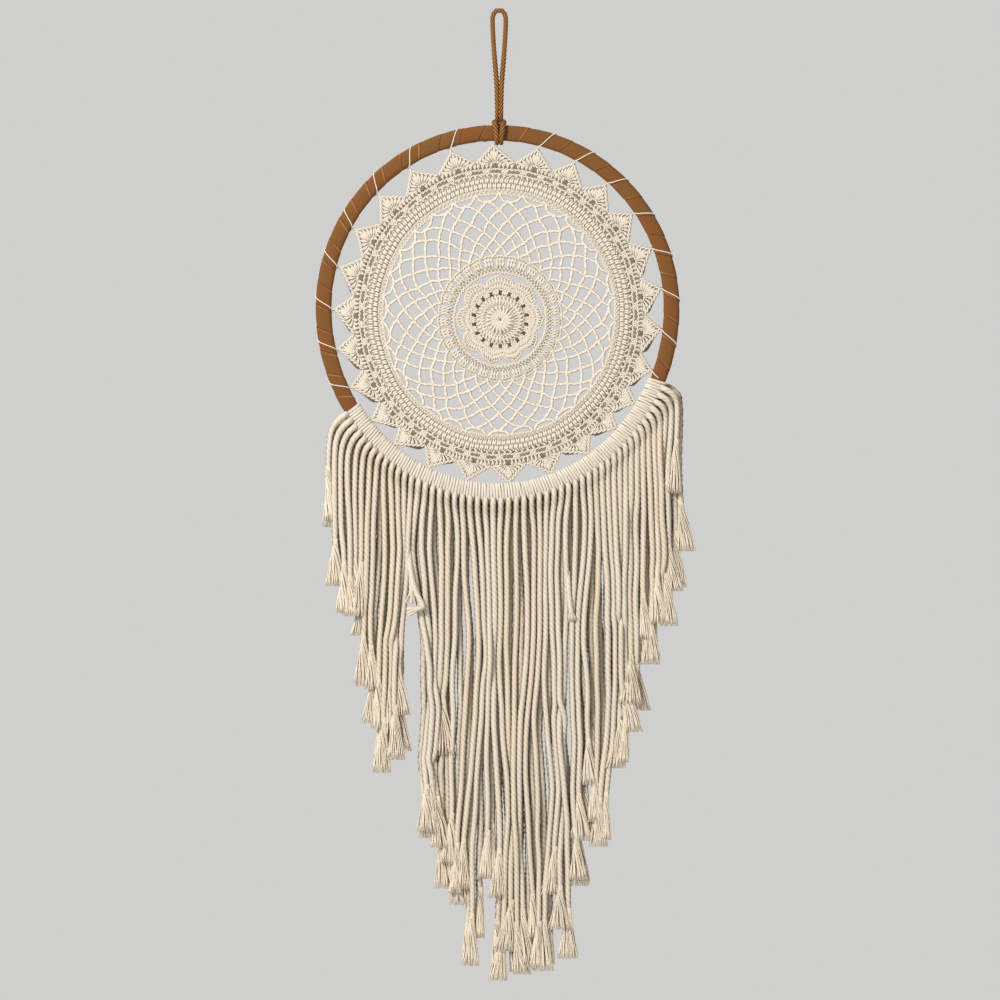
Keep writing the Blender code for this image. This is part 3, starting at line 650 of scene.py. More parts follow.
class Recipe:
    """A material in the making: every node comes from its one node method."""

    def __init__(self, name, roughness, specular=0.2):
        self.material = bpy.data.materials.new(name)
        self.material.use_nodes = True
        self.tree = self.material.node_tree
        self.shader = self.tree.nodes["Principled BSDF"]
        self.shader.inputs["Metallic"].default_value = 0.0
        self.shader.inputs["Roughness"].default_value = roughness
        self.shader.inputs["Specular IOR Level"].default_value = specular

    def node(self, kind, settings, inputs, output=0):
        """A node of a type, its settings first, then the values or links of its sockets."""
        made = self.tree.nodes.new(kind)
        for key, value in settings.items():
            setattr(made, key, value)
        for key, value in inputs.items():
            socket = made.inputs[key]
            if isinstance(value, Wire):
                self.tree.links.new(value.socket, socket)
            else:
                socket.default_value = (*value, 1.0) if socket.type == "RGBA" else value
        return Wire(self, made.outputs[output])

    def place(self, scale=(1.0, 1.0, 1.0)):
        """Object coordinates, scaled."""
        start = self.node("ShaderNodeTexCoord", {}, {}, "Object")
        return self.node("ShaderNodeMapping", {}, {"Vector": start, "Scale": scale})

    def attribute(self, name, output):
        """An attribute of the mesh: Fac for a number, Vector for a vector."""
        return self.node("ShaderNodeAttribute", {"attribute_name": name}, {}, output)

    def stretch(self, vector, scale):
        """A vector with each of its parts scaled."""
        return self.node("ShaderNodeVectorMath", {"operation": "MULTIPLY"}, {0: vector, 1: scale})

    def noise(self, vector, scale, detail=3.0, roughness=0.55):
        """Soft noise from 0 to 1."""
        return self.node("ShaderNodeTexNoise", {"noise_dimensions": "3D"}, {
            "Vector": vector, "Scale": scale, "Detail": detail, "Roughness": roughness})

    def mix(self, factor, first, second):
        """Two colours mixed by a factor."""
        return self.node("ShaderNodeMix", {"data_type": "RGBA"}, {0: factor, 6: first, 7: second}, 2)

    def finish(self, colour, height=None, strength=0.5, distance=0.2 * MM):
        """Wire the colour and the bump to the shader."""
        self.tree.links.new(colour.socket, self.shader.inputs["Base Color"])
        if height is not None:
            bump = self.node("ShaderNodeBump", {}, {
                "Strength": strength, "Distance": distance, "Height": height})
            self.tree.links.new(bump.socket, self.shader.inputs["Normal"])
        return self.material


def tinted(colour, *factors):
    """A colour with its three parts scaled by three factors, or all by one, and held to 1."""
    factors = factors * 3 if len(factors) == 1 else factors
    return tuple(min(1.0, part * factor) for part, factor in zip(colour, factors))


def cotton_material(name, colour, fibre, streak):
    """Spun cotton: every cord a little warmer or paler, fibres along the plies, painted shade and painted
    light as the mesh gives them.
    """
    recipe = Recipe(name, 0.92)
    shade = recipe.attribute("shade", "Fac")
    cavity = recipe.attribute("cavity", "Fac")
    strand = recipe.attribute("strand", "Vector")
    warm = tinted(colour, 0.97, 0.93, 0.84)
    rose = tinted(colour, 0.99, 0.92, 0.90)
    # deep is the colour of painted shade.
    deep = tinted(colour, 0.10, 0.07, 0.04)
    base = recipe.mix((shade * 2.0).clamp(), warm, colour)
    base = recipe.mix((shade * 3.0 - 2.0).clamp(), base, rose)
    along = recipe.noise(recipe.stretch(strand, (streak, streak, 0.35)), 1.0, 2.0)
    fuzz = recipe.noise(recipe.place(), fibre, 4.0, 0.7)
    mottle = recipe.noise(recipe.place((1.0, 1.0, 0.45)), 60.0, 2.0)
    base = recipe.mix((along * 2.2 - 0.75).clamp() * 0.35, base, tinted(colour, 0.66))
    base = recipe.mix((mottle * 2.0 - 0.7).clamp() * 0.22, base, tinted(warm, 0.84))
    base = recipe.mix((fuzz * 2.6 - 1.1).clamp() * 0.4, base, tinted(colour, 1.2))
    # Painted shade in grooves, on flanks, in the back row and in the doily's dark strips; below 0, painted
    # light on thin yarns with their paler tips.
    base = recipe.mix((cavity * (fuzz * 0.8 + 0.6)).clamp(), base, deep)
    base = recipe.mix((0.0 - cavity).clamp(), base, tinted(colour, 1.4))
    return recipe.finish(base, along * 0.6 + fuzz * 0.9, 0.8, 0.3 * MM)


def suede_material(name, colour):
    """Brushed suede lace: soft nap, darker and redder patches, pale rubbed edges, painted shadow at the
    laps.
    """
    recipe = Recipe(name, 0.9, 0.1)
    shade = recipe.attribute("shade", "Fac")
    cavity = recipe.attribute("cavity", "Fac")
    nap = recipe.noise(recipe.place(), 2600.0, 3.0, 0.7)
    patch = recipe.noise(recipe.place(), 45.0, 3.0)
    grain = recipe.noise(recipe.place(), 420.0, 4.0, 0.65)
    red = tinted(colour, 1.03, 0.93, 0.92)
    olive = tinted(colour, 0.97, 1.04, 0.98)
    rubbed = tinted(colour, 2.6, 3.0, 3.6)
    base = recipe.mix((shade + patch * 0.8 - 0.4).clamp(), olive, red)
    base = recipe.mix((grain * 2.2 - 0.7).clamp() * 0.3, base, tinted(colour, 0.72))
    base = recipe.mix((nap * 2.0 - 0.8).clamp() * 0.2, base, tinted(colour, 1.35))
    # Painted shadow where a wrap starts under the lap before it; below 0 the rubbed pale edges.
    base = recipe.mix(cavity.clamp(), base, tinted(colour, 0.22))
    base = recipe.mix((0.0 - cavity).clamp(), base, rubbed)
    return recipe.finish(base, grain * 0.6 + nap * 0.4)


def loop_material(name, colour):
    """Brown twisted cord: yarns along the plies, with painted highlights on their crests and painted shade
    between them.
    """
    recipe = Recipe(name, 0.7, 0.1)
    cavity = recipe.attribute("cavity", "Fac")
    strand = recipe.attribute("strand", "Vector")
    along = recipe.noise(recipe.stretch(strand, (6.0, 6.0, 0.5)), 1.0, 2.0)
    fuzz = recipe.noise(recipe.place(), 2400.0, 3.0, 0.7)
    patch = recipe.noise(recipe.place(), 60.0, 2.0)
    red = tinted(colour, 1.0, 0.8, 0.8)
    # pale is the colour of the painted highlights on the ply crests.
    pale = tinted(colour, 2.7, 3.4, 7.0)
    base = recipe.mix((patch * 2.4 - 0.8).clamp() * 0.6, colour, red)
    base = recipe.mix((along * 2.0 - 0.6).clamp() * 0.75, base, tinted(colour, 2.3))
    base = recipe.mix((fuzz * 2.0 - 0.8).clamp() * 0.3, base, tinted(colour, 0.6))
    # Painted shade in the grooves and on the flanks; below 0, painted highlights on the crests.
    base = recipe.mix(cavity.clamp(), base, tinted(colour, 0.2))
    base = recipe.mix((0.0 - cavity).clamp(), base, pale)
    return recipe.finish(base, along * 0.6 + fuzz * 0.4, 0.6)


def plaster_material(name, colour):
    """Plain matte studio floor with barely visible mottling."""
    recipe = Recipe(name, 0.9)
    cloud = recipe.noise(recipe.place(), 3.0, 2.0)
    return recipe.finish(recipe.mix(cloud * 0.15, colour, tinted(colour, 0.95)))


# --- the hoop's oval --------------------------------------------------------------------------


def hoop_frame(angle):
    """Centre line points and outward normals of the hoop, in x and z, at the oval's parameters."""
    angle = np.asarray(angle, dtype=float)
    height = np.where(np.sin(angle) >= 0.0, HOOP_HALF_TOP, HOOP_HALF_BOTTOM)
    cosine, sine = np.cos(angle), np.sin(angle)
    centre = np.stack((HOOP_X + HOOP_HALF_WIDTH * cosine, HOOP_Z + height * sine), -1)
    normal = np.stack((cosine / HOOP_HALF_WIDTH, sine / height), -1)
    return centre, unit(normal)


def hoop_point(angle, radial, depth):
    """Points beside the hoop's centre line, by their distance outwards and their depth."""
    centre, normal = hoop_frame(angle)
    place = centre + normal * np.asarray(radial)[..., None]
    return np.stack(np.broadcast_arrays(place[..., 0], depth, place[..., 1]), -1)


def ring_section(turn, offset):
    """Rounded oblong round the ring, grown by an offset: radial and depth at a turn of 0 to 1.

    radial = breadth sign(cos) |cos|^(2/n), depth = depth sign(sin) |sin|^(2/n).
    """
    angle = turn * TURN
    power = 2.0 / RING_SQUARENESS
    radial = np.sign(np.cos(angle)) * np.abs(np.cos(angle)) ** power
    depth = np.sign(np.sin(angle)) * np.abs(np.sin(angle)) ** power
    return radial * (RING_HALF_BREADTH + offset), depth * (RING_HALF_DEPTH + offset)


def in_band(angle, margin=0.0):
    """Whether angles lie on the knotted arc, widened by a margin."""
    turned = np.mod(angle, TURN)
    return (turned > BAND_START - margin) & (turned < BAND_END + margin)


def band_angles(count):
    """Parameters that part the knotted arc into equal lengths, from left to right."""
    fine = np.linspace(BAND_START, BAND_END, 721)
    run = line_run(hoop_frame(fine)[0])
    return np.interp(np.linspace(0.0, run[-1], count + 1), run, fine)


def make_binding(heap):
    """The lace round the ring as one screw surface: a turn of the section is one wrap onward.

    angle = top - (wrap + share + way round the section) pitch. The offset rises over each wrap and
    drops at its edge, so that every turn laps over the one before it.
    """
    shares, lifts, edges = WRAP_PROFILE.T
    sides = RING_SIDES
    turn = np.arange(sides) / sides
    along = (np.arange(WRAPS)[:, None] + shares[None, :]).reshape(-1)
    pitch = TURN / WRAPS
    outline = np.stack(ring_section(turn + 0.5, 0.0))
    steps = np.linalg.norm(np.roll(outline, -1, axis=1) - outline, axis=0)
    sweep = (np.cumsum(steps) - steps) / steps.sum()
    angle = math.pi / 2.0 - (along[:, None] + sweep[None, :]) * pitch
    bare = np.where(in_band(angle, pitch / 6.0), 0.0, 1.0)
    radial, depth = ring_section(turn[None, :] + 0.5, np.tile(lifts * WRAP_LAP, WRAPS)[:, None] * bare)
    points = hoop_point(angle, radial, depth)
    draw = np.random.default_rng(WRAP_SEED)
    tone, rubbed, start = (np.repeat(draw.uniform(least, most, WRAPS), len(shares))[:, None]
                           for least, most in ((0.0, 1.0), (0.25, 1.0), (0.0, TURN)))
    patchy = 0.55 + 0.45 * np.sin(turn * TURN * 2.0 + start)
    edge = np.tile(edges, WRAPS)[:, None]
    # Painted shadow at the start of each wrap, under the edge of the one before; below 0 the rubbed pale
    # edges, patchy.
    cavity = np.where(edge < 0.0, edge * rubbed * patchy, edge)
    rings = len(along)
    ring = np.arange(rings)[:, None]
    side = np.arange(sides)[None, :]
    after = (side + 1) % sides
    step = np.where(after == 0, len(shares), 0)
    faces = np.stack(np.broadcast_arrays(
        ring * sides + side, (ring + step) % rings * sides + after,
        (ring + 1 + step) % rings * sides + after, (ring + 1) % rings * sides + side), -1)
    heap.add(points, faces.reshape(-1, 4), shade=tone, cavity=cavity)


# --- the knots --------------------------------------------------------------------------------


def add_plied(heap, line, across, up, wide, tall, twist_length, start, shade, beside, groove, dark,
              gap_dark, sides=9, closed=False, extra_painted_shade=0.0):
    """A three-ply cord: the section's radius swells at each ply, and the plies wind round it.

    radius = half (1 - (1 - groove) crease), where crease is sin(1.5 a)^2 scaled to run from 0 on
    a ply to 1 between two, and the plies wind once in the twist length. The grooves get painted
    shade as far as dark says, the flanks towards the neighbouring cords as far as gap_dark says,
    and more painted shade can be added all along the cord.
    """
    rings = len(line)
    run = line_run(line)
    twist = start + run * TURN / twist_length
    ply = np.arange(sides) * TURN / sides + TURN / 6.0 - TURN / 3.0 // (TURN / sides) * TURN / sides
    crease = np.abs(np.sin(1.5 * ply)) ** 2
    crease = (crease - crease.min()) / (crease.max() - crease.min())
    swell = 1.0 - (1.0 - groove) * crease
    angle = ply[None, :] + twist[:, None]
    wide = np.broadcast_to(np.asarray(wide, dtype=float), (rings,))[:, None]
    tall = np.broadcast_to(np.asarray(tall, dtype=float), (rings,))[:, None]
    swell = np.broadcast_to(swell[None, :], (rings, sides)).copy()
    if not closed:
        swell[[0, -1]] *= 0.3
    out = across[:, None] * np.cos(angle)[..., None] + up[:, None] * np.sin(angle)[..., None]
    points = carry_section(line, across, up, wide * swell, tall * swell, angle)
    faces, caps = tube_faces(1, rings, sides, closed)
    flank = np.abs((out * np.asarray(beside)).sum(axis=-1)) ** 5
    extra_painted_shade = np.broadcast_to(np.asarray(extra_painted_shade, dtype=float), (rings,))[:, None]
    # Painted shade: in the grooves, on the flanks towards the neighbours, and added along the cord.
    cavity = np.maximum(crease[None, :] * dark, flank * gap_dark) + extra_painted_shade
    heap.add(points, faces, caps, strand_places(ply, run / MM), shade, cavity)


def make_knots(heap):
    """Turns of cord round the ring, side by side along the knotted arc, and each knot's bar behind.

    A turn follows the ring's rounded section at a small offset, and its plies show as ridges.
    """
    draw = np.random.default_rng(KNOT_SEED)
    edges = band_angles(BAND_TURNS)
    turn = np.arange(TURN_STEPS) / TURN_STEPS
    outwards = np.maximum(np.cos(turn * TURN), 0.0)
    for middle in (edges[:-1] + edges[1:]) / 2.0:
        offset = TURN_THICKNESS * (0.95 + draw.uniform(-0.08, 0.14))
        lean = math.radians(draw.uniform(0.1, 0.5)) * np.cos(turn * TURN)
        radial, depth = ring_section(turn, offset)
        line = hoop_point(middle + lean, radial + TURN_REACH * outwards ** 4, depth)
        normal = hoop_frame(middle)[1]
        tangent = np.array((-normal[1], 0.0, normal[0]))
        across = np.broadcast_to(tangent, line.shape)
        up = unit(np.cross(across, line_ahead(line, closed=True)))
        length = np.linalg.norm(np.roll(line, -1, axis=0) - line, axis=1).sum()
        half = TURN_HALF * draw.uniform(0.98, 1.1) * (1.0 - 0.3 * outwards ** 8)
        add_plied(heap, line, across, up, half, TURN_THICKNESS, -length * 3.0,
                  draw.uniform(0.0, TURN), draw.uniform(0.2, 0.75), tangent, **TURN_LOOKS)
    knots = band_angles(KNOTS)
    share = np.linspace(0.08, 0.92, BAR_STEPS)
    bow = np.sin(share * math.pi)
    for left, right in zip(knots[:-1], knots[1:]):
        angle = left + (right - left) * share
        line = hoop_point(angle, (3.4 - 1.0 * bow) * MM, (5.2 + 1.4 * bow ** 0.6) * MM)
        normal = hoop_frame(angle)[1]
        across = np.stack((normal[:, 0], 0.0 * angle, normal[:, 1]), -1)
        up = unit(np.cross(across, line_ahead(line)))
        add_plied(heap, line, across, up, BAR_HALF_WIDTH, BAR_HALF_THICKNESS, BAR_LAY,
                  draw.uniform(0.0, TURN), draw.uniform(0.3, 0.75), across.mean(axis=0), **BAR_LOOKS)


# --- the fringe -------------------------------------------------------------------------------


def parting_shift(x, z):
    """How far a cord at x is pushed aside at each height z by the partings near it."""
    shift = np.zeros_like(z)
    for middle, half, top, bottom in PARTINGS:
        aside = x - middle * MM
        open_share = np.clip((top * MM - z) / PARTING_OPENS_IN, 0.0, 1.0)
        close_share = np.clip((z - bottom * MM) / PARTING_CLOSES_IN, 0.0, 1.0)
        reach = math.copysign(half * MM, aside) * math.exp(-abs(aside) / PARTING_REACH)
        shift += reach * open_share * np.maximum(close_share, PARTING_LEFT_OPEN)
    return shift


def hanging_lines(roots):
    """Where the cords of a row hang: plumb below their roots, or a cord's pitch further out."""
    lines = roots.copy()
    for knot in range(LOWEST_KNOT + 1, KNOTS):
        lines[knot] = lines[knot - 1] + max(roots[knot] - roots[knot - 1], RIGHT_PITCH)
    for knot in range(LOWEST_KNOT - 1, -1, -1):
        lines[knot] = lines[knot + 1] - max(roots[knot + 1] - roots[knot], LEFT_PITCH)
    return lines


def plan_fringe():
    """Root, hanging line and lower end of each cord, row by row from left to right."""
    draw = np.random.default_rng(FRINGE_SEED)
    edges = band_angles(KNOTS)
    plans = []
    for row, side in (("front", -1.0), ("back", 1.0)):
        angles = edges[:-1] + (edges[1:] - edges[:-1]) * (0.5 + side * CORD_SHIFT)
        roots = hoop_point(angles, np.full(KNOTS, ROOT_OFFSET), 0.0)[:, 0]
        for knot, (angle, line) in enumerate(zip(angles, hanging_lines(roots))):
            splay = (SPLAY_RIGHT * math.exp((knot - KNOTS) / SPLAY_RIGHT_KNOTS)
                     - SPLAY_LEFT * math.exp(-knot / SPLAY_LEFT_KNOTS))
            plans.append({"row": row, "side": side, "knot": knot, "angle": float(angle),
                          "hang": line + splay})
    tassel_x, tassel_z = np.array(TASSELS).T * MM
    hangs = np.array([plan["hang"] for plan in plans])
    behind = np.array([plan["side"] for plan in plans]) > 0.0
    taken = np.zeros(len(plans), dtype=bool)
    for number in np.argsort(tassel_z):
        reach = np.abs(hangs - tassel_x[number]) + behind * ROW_PREFERENCE + taken * OUT_OF_REACH
        owner = int(np.argmin(reach))
        taken[owner] = True
        pull = float(np.clip(tassel_x[number] - hangs[owner], -GATHER_MOST, GATHER_MOST))
        plans[owner].update(end=tassel_z[number], pull=pull, full=True)
    parted = PARTINGS[0][0] * MM
    for index, plan in enumerate(plans):
        if not taken[index]:
            aside = tassel_x - plan["hang"]
            same_side = (tassel_x > parted) == (plan["hang"] > parted)
            away = np.where(same_side, np.abs(aside), OUT_OF_REACH)
            near = away < NEIGHBOUR_REACH
            nearest = int(np.argmin(away))
            end = tassel_z[near].min() if near.any() else tassel_z[nearest]
            pull = 0.0 if near.any() else np.clip(aside[nearest], -DRAWN_MOST, DRAWN_MOST)
            level = draw.random() < EVEN_CUT_SHARE or plan["knot"] < EVEN_CUT_KNOTS
            lift = draw.uniform(0.04, 0.14) if level else draw.uniform(0.25, 0.9)
            full = draw.random() < FULL_TASSEL_SHARE
            plan.update(end=end + lift * SHORTER_BY, pull=float(pull), full=full)
    return plans


def cord_root(plan):
    """Where a cord comes out of its knot, in x and z, and the hoop's normal there."""
    centre, normal = hoop_frame(plan["angle"])
    return centre + normal * ROOT_OFFSET, normal


def cord_line(plan, drops):
    """Centre points in x and z: out of the hoop along its normal, then round into the plumb."""
    root, normal = cord_root(plan)
    aside = plan["hang"] - root[0]
    slope = normal[0] / -normal[1]
    easing = np.clip(aside / slope if abs(slope) > 1e-6 else PLUMB_EASING, *EASING_LIMITS)
    z = root[1] - drops
    x = root[0] + aside * (1.0 - np.exp(-drops / easing))
    x = x + parting_shift(plan["hang"], z)
    low = np.clip(1.0 - (z - plan["end"]) / GATHER_LENGTH, 0.0, 1.0)
    return x + plan["pull"] * low * low, z


def settle(plans, radius):
    """Let the cords wander, then push crossing ones apart, level by level.

    At each level the cords are circles; every pair that is nearer than a diameter moves apart
    along the line between them, all are drawn back to their own place, and each cord's shifts
    are smoothed along its length.
    """
    draw = np.random.default_rng(SETTLING_SEED)
    levels = np.arange(LEVEL_TOP, LEVEL_BOTTOM, -LEVEL_STEP)
    count = len(plans)
    home = np.zeros((count, len(levels), 2))
    hanging = np.zeros((count, len(levels)), dtype=bool)
    for index, plan in enumerate(plans):
        top = cord_root(plan)[0][1]
        drops = np.maximum(top - levels, 0.0)
        x, _ = cord_line(plan, drops)
        ease = 1.0 - np.exp(-drops / WANDER_EASING)
        waves = np.zeros(len(levels))
        bunched = MM if plan["row"] == "front" else BACK_BUNCHING * MM
        for size, knots, length, phase in BUNCHES:
            waves += size * bunched * np.sin(TURN * (plan["knot"] / knots + levels / length) + phase)
        for length, most in WANDERS:
            length = draw.uniform(0.75, 1.3) * length
            size = draw.uniform(0.3, 1.0) * most * MM
            waves += size * np.sin(TURN * levels / length + draw.uniform(0.0, TURN))
        size = draw.uniform(0.2, 1.3) * MM
        depth = size * np.sin(TURN * levels / draw.uniform(0.1, 0.3) + draw.uniform(0.0, TURN))
        home[index, :, 0] = x + waves * ease
        home[index, :, 1] = plan["side"] * ROW_DEPTH + depth * ease
        hanging[index] = (top - levels > 0.0) & (levels > plan["end"])
    place = home.copy()
    both = hanging[:, None, :] & hanging[None, :, :]
    both[np.arange(count), np.arange(count)] = False
    for _ in range(SETTLING_ROUNDS):
        gap = place[:, None] - place[None, :]
        distance = np.maximum(np.linalg.norm(gap, axis=-1), 1e-6)
        push = np.where(both, np.clip(2.0 * radius - distance, 0.0, radius), 0.0)
        push = push / distance * PUSH_SHARE
        move = (gap * push[..., None]).sum(axis=1)
        move[..., 1] *= DEPTH_SHARE
        move += (home - place) * HOMING_SHARE
        shift = place + move - home
        shift[:, 1:-1] = (shift[:, :-2] + 2.0 * shift[:, 1:-1] + shift[:, 2:]) / 4.0
        place = home + shift
        place[..., 1] = np.clip(place[..., 1], -DEPTH_MOST, DEPTH_MOST)
    return levels, place


def cord_route(plan, levels, place, tassel):
    """Centre line of a cord from inside its knot, out under the turns' lower ends, to its tassel."""
    side = plan["side"]
    reach = cord_root(plan)[0][1] - plan["end"] - tassel
    near = np.arange(0.0, KNOT_LENGTH, KNOT_DROP_STEP)
    drops = np.concatenate((near, np.arange(KNOT_LENGTH, reach, LEVEL_STEP), [reach]))
    x, z = cord_line(plan, drops)
    ease = 1.0 - np.exp(-(drops / KNOT_EASING) ** 2)
    x = x + (np.interp(-z, -levels, place[:, 0]) - x) * ease
    forward = side * (ROW_DEPTH + KNOT_BULGE * np.exp(-((drops - BULGE_DROP) / BULGE_LENGTH) ** 2))
    depth = forward + (np.interp(-z, -levels, place[:, 1]) - forward) * ease
    outwards, forwards = np.array(INSIDE_KNOT).T * MM
    inner = hoop_point(plan["angle"], outwards, forwards * side)
    return np.concatenate((inner, np.stack((x, depth, z), -1)[1:]))


def add_tassel(heap, draw, line, radius, length, shade, bottom, spread):
    """The frayed end of a cord: three layers of yarns that untwist from its section and fan out.

    x(t) = end + radius place(t) + spread across t^1.3 + waves, where the yarn's place in the
    section is turned by 2.6 (1 - t)^2.5, and z falls evenly to the yarn's own end.
    """
    yarns = len(TASSEL_LAYERS) * TASSEL_ROW
    t = np.linspace(0.0, 1.0, TASSEL_RINGS)[None, :]
    end = line[-1]
    lean = unit(line[-1] - line[-6])
    start = TASSEL_START
    even = (np.arange(TASSEL_ROW) + 0.5) / TASSEL_ROW * 2.0 - 1.0
    across = np.concatenate([even + shift / TASSEL_ROW for _, shift in TASSEL_LAYERS])
    across = np.clip(across + draw.normal(0.0, 0.05, yarns), -1.0, 1.0)
    deep = np.repeat([depth for depth, _ in TASSEL_LAYERS], TASSEL_ROW) * np.sqrt(1.0 - across ** 2)
    across, deep = across[:, None], deep[:, None]
    drop = np.minimum(length * (1.03 - 0.14 * draw.random(yarns) ** 2), end[2] - bottom)[:, None]
    turn = -2.6 * (1.0 - t) ** 2.5
    beside = across * np.cos(turn) - deep * np.sin(turn)
    before = across * np.sin(turn) + deep * np.cos(turn)
    wave = draw.uniform(0.1, 0.55, yarns)[:, None] * MM * np.sin(
        TURN * (t * drop / draw.uniform(11.0, 22.0, yarns)[:, None] / MM + draw.random(yarns)[:, None]))
    x = end[0] + radius * TASSEL_SECTION * beside + spread * across * t ** 1.3 + wave * t
    x = x + (lean[0] * 0.9 + draw.normal(0.0, 0.05)) * ((drop + start) * t - start)
    y = end[1] + radius * TASSEL_SECTION * before * (1.0 + 0.4 * t)
    z = end[2] + start - (drop + start) * t
    lines = np.stack(np.broadcast_arrays(x, y, z), -1)
    half = (0.42 + 0.2 * t ** 0.5) * MM
    tones = shade + draw.uniform(-0.1, 0.1, yarns)
    # Painted shade on the yarns' flanks; painted light on the yarns, most at their paler tips.
    add_tubes(heap, lines, half, 3, shade=tones, blunt=0.75, dark=0.28, pale=0.8)


def add_stray(heap, draw, route, radius, twist_length):
    """A short twisted end along a smooth curve through its route, and the yarns beyond it.

    A yarn is end + ahead (length t - start) + across place (1 + 1.1 t^1.3), with its own place.
    """
    knots = np.array(route) * MM
    at = np.arange(len(knots), dtype=float)
    fine = np.linspace(0.0, at[-1], 8 * len(knots))
    line = np.stack([np.interp(fine, at, column) for column in knots.T], -1)
    for _ in range(6):
        line[1:-1] = (line[:-2] + 2.0 * line[1:-1] + line[2:]) / 4.0
    line = resample(line, STRAY_STEP)
    ahead, across, up = line_frame(line)
    add_plied(heap, line, across, up, radius, radius, twist_length, 0.0, 0.5, across[-1], **STRAY_LOOKS)
    t = np.linspace(0.0, 1.0, 6)[None, :, None]
    place = draw.uniform(-1.0, 1.0, (2, STRAY_YARNS))[..., None, None] * 0.8 * radius
    length = STRAY_FRAY * draw.uniform(0.75, 1.05, STRAY_YARNS)[:, None, None]
    lines = (line[-1] + ahead[-1] * (length * t - STRAY_YARN_START)
             + across[-1] * place[0] * (1.0 + 1.1 * t ** 1.3) + up[-1] * place[1] * (1.0 - 0.3 * t))
    # Painted shade on the yarns' flanks; painted light on the yarns, most at their paler tips.
    add_tubes(heap, lines, STRAY_YARN_HALF, 3, blunt=0.75, dark=0.2, pale=0.8)


def make_fringe(settings):
    """Every hanging cord with its frayed end, gathered into left and right halves of two rows."""
    heaps = {(row, half): Heap() for row in ROWS for half in ("left", "right")}
    plans = plan_fringe()
    radius = settings.cord_thickness / 2.0
    levels, place = settle(plans, radius * SETTLED_SIZE)
    draw = np.random.default_rng(CORD_SEED)
    for index, plan in enumerate(plans):
        heap = heaps[plan["row"], "left" if plan["knot"] < KNOTS // 2 else "right"]
        step, growth, slim, knot_painted_shade, row_painted_shade, sides = ROWS[plan["row"]]
        tassel = settings.tassel_length * draw.uniform(0.85, 1.2)
        line = resample(cord_route(plan, levels, place[index], tassel), step)
        _, across, up = line_frame(line)
        size = radius * draw.uniform(0.95, 1.08) * growth
        run = np.arange(len(line)) * step
        in_knot = np.clip(1.0 - run / SLIM_LENGTH, 0.0, 1.0)
        taper = END_TAPER * np.exp(-(run[-1] - run) / END_TAPER_LENGTH)
        half = size * (1.0 - slim * in_knot - taper)
        # Painted shade: deepest where the cord leaves its knot and fading down it, and all along the back
        # row.
        extra_painted_shade = knot_painted_shade * np.exp(-run / KNOT_SHADE_FADE_LENGTH) + row_painted_shade
        shade = draw.uniform(0.0, 1.0)
        twist_length = settings.cord_lay * draw.uniform(0.92, 1.1)
        add_plied(heap, line, across, up, half, half, twist_length, draw.uniform(0.0, TURN), shade,
                  (1.0, 0.0, 0.0), sides=sides, extra_painted_shade=extra_painted_shade, **CORD_LOOKS)
        spread = draw.uniform(4.8, 7.2) if plan["full"] else draw.uniform(2.0, 4.5)
        add_tassel(heap, draw, line, size, tassel, shade, plan["end"], spread * MM)
    for route in STRAY_ENDS:
        heap = heaps["front", "left" if route[0][0] < 0.0 else "right"]
        add_stray(heap, draw, route, radius * STRAY_SIZE, settings.cord_lay)
    return heaps


# --- the hanging loop -------------------------------------------------------------------------


def loop_path(spacing):
    """Even steps along the closed Catmull-Rom curve through the loop's route, and its radii."""
    half = np.array(LOOP_ROUTE) * MM
    rows = np.vstack((half, half[-2:0:-1] * np.array((-1.0, 1.0, 1.0, 1.0))))
    before, start, end, after = (np.roll(rows, shift, axis=0)[:, None] for shift in (1, 0, -1, -2))
    t = np.linspace(0.0, 1.0, 40, endpoint=False)[None, :, None]
    bend = 2.0 * before - 5.0 * start + 4.0 * end - after
    swing = 3.0 * start - before - 3.0 * end + after
    curve = 0.5 * (2.0 * start + (end - before) * t + bend * t ** 2 + swing * t ** 3)
    curve = curve.reshape(-1, 4)
    curve = np.vstack((curve, curve[:1]))
    run = line_run(curve[:, :3])
    at = np.linspace(0.0, run[-1], int(round(run[-1] / spacing)), endpoint=False)
    rows = np.stack([np.interp(at, run, column) for column in curve.T], -1)
    # The bight in front of the hoop is thicker and a little narrower, and the strands thicken
    # from 30 mm below the nail down.
    front = np.clip((-1.0 * MM - rows[:, 1]) / (4.0 * MM), 0.0, 1.0)
    front = front * np.clip((rows[:, 2] + 0.110) / 0.006, 0.0, 1.0)
    radii = rows[:, 3] * (1.0 + 0.4 * front)
    radii *= 1.0 + 0.2 * np.clip((-30.0 * MM - rows[:, 2]) / (30.0 * MM), 0.0, 1.0) * (1.0 - front)
    rows[:, 0] *= 1.0 - 0.1 * front
    return rows[:, :3] + np.array((LOOP_X, 0.0, 0.0)), radii, run[-1]


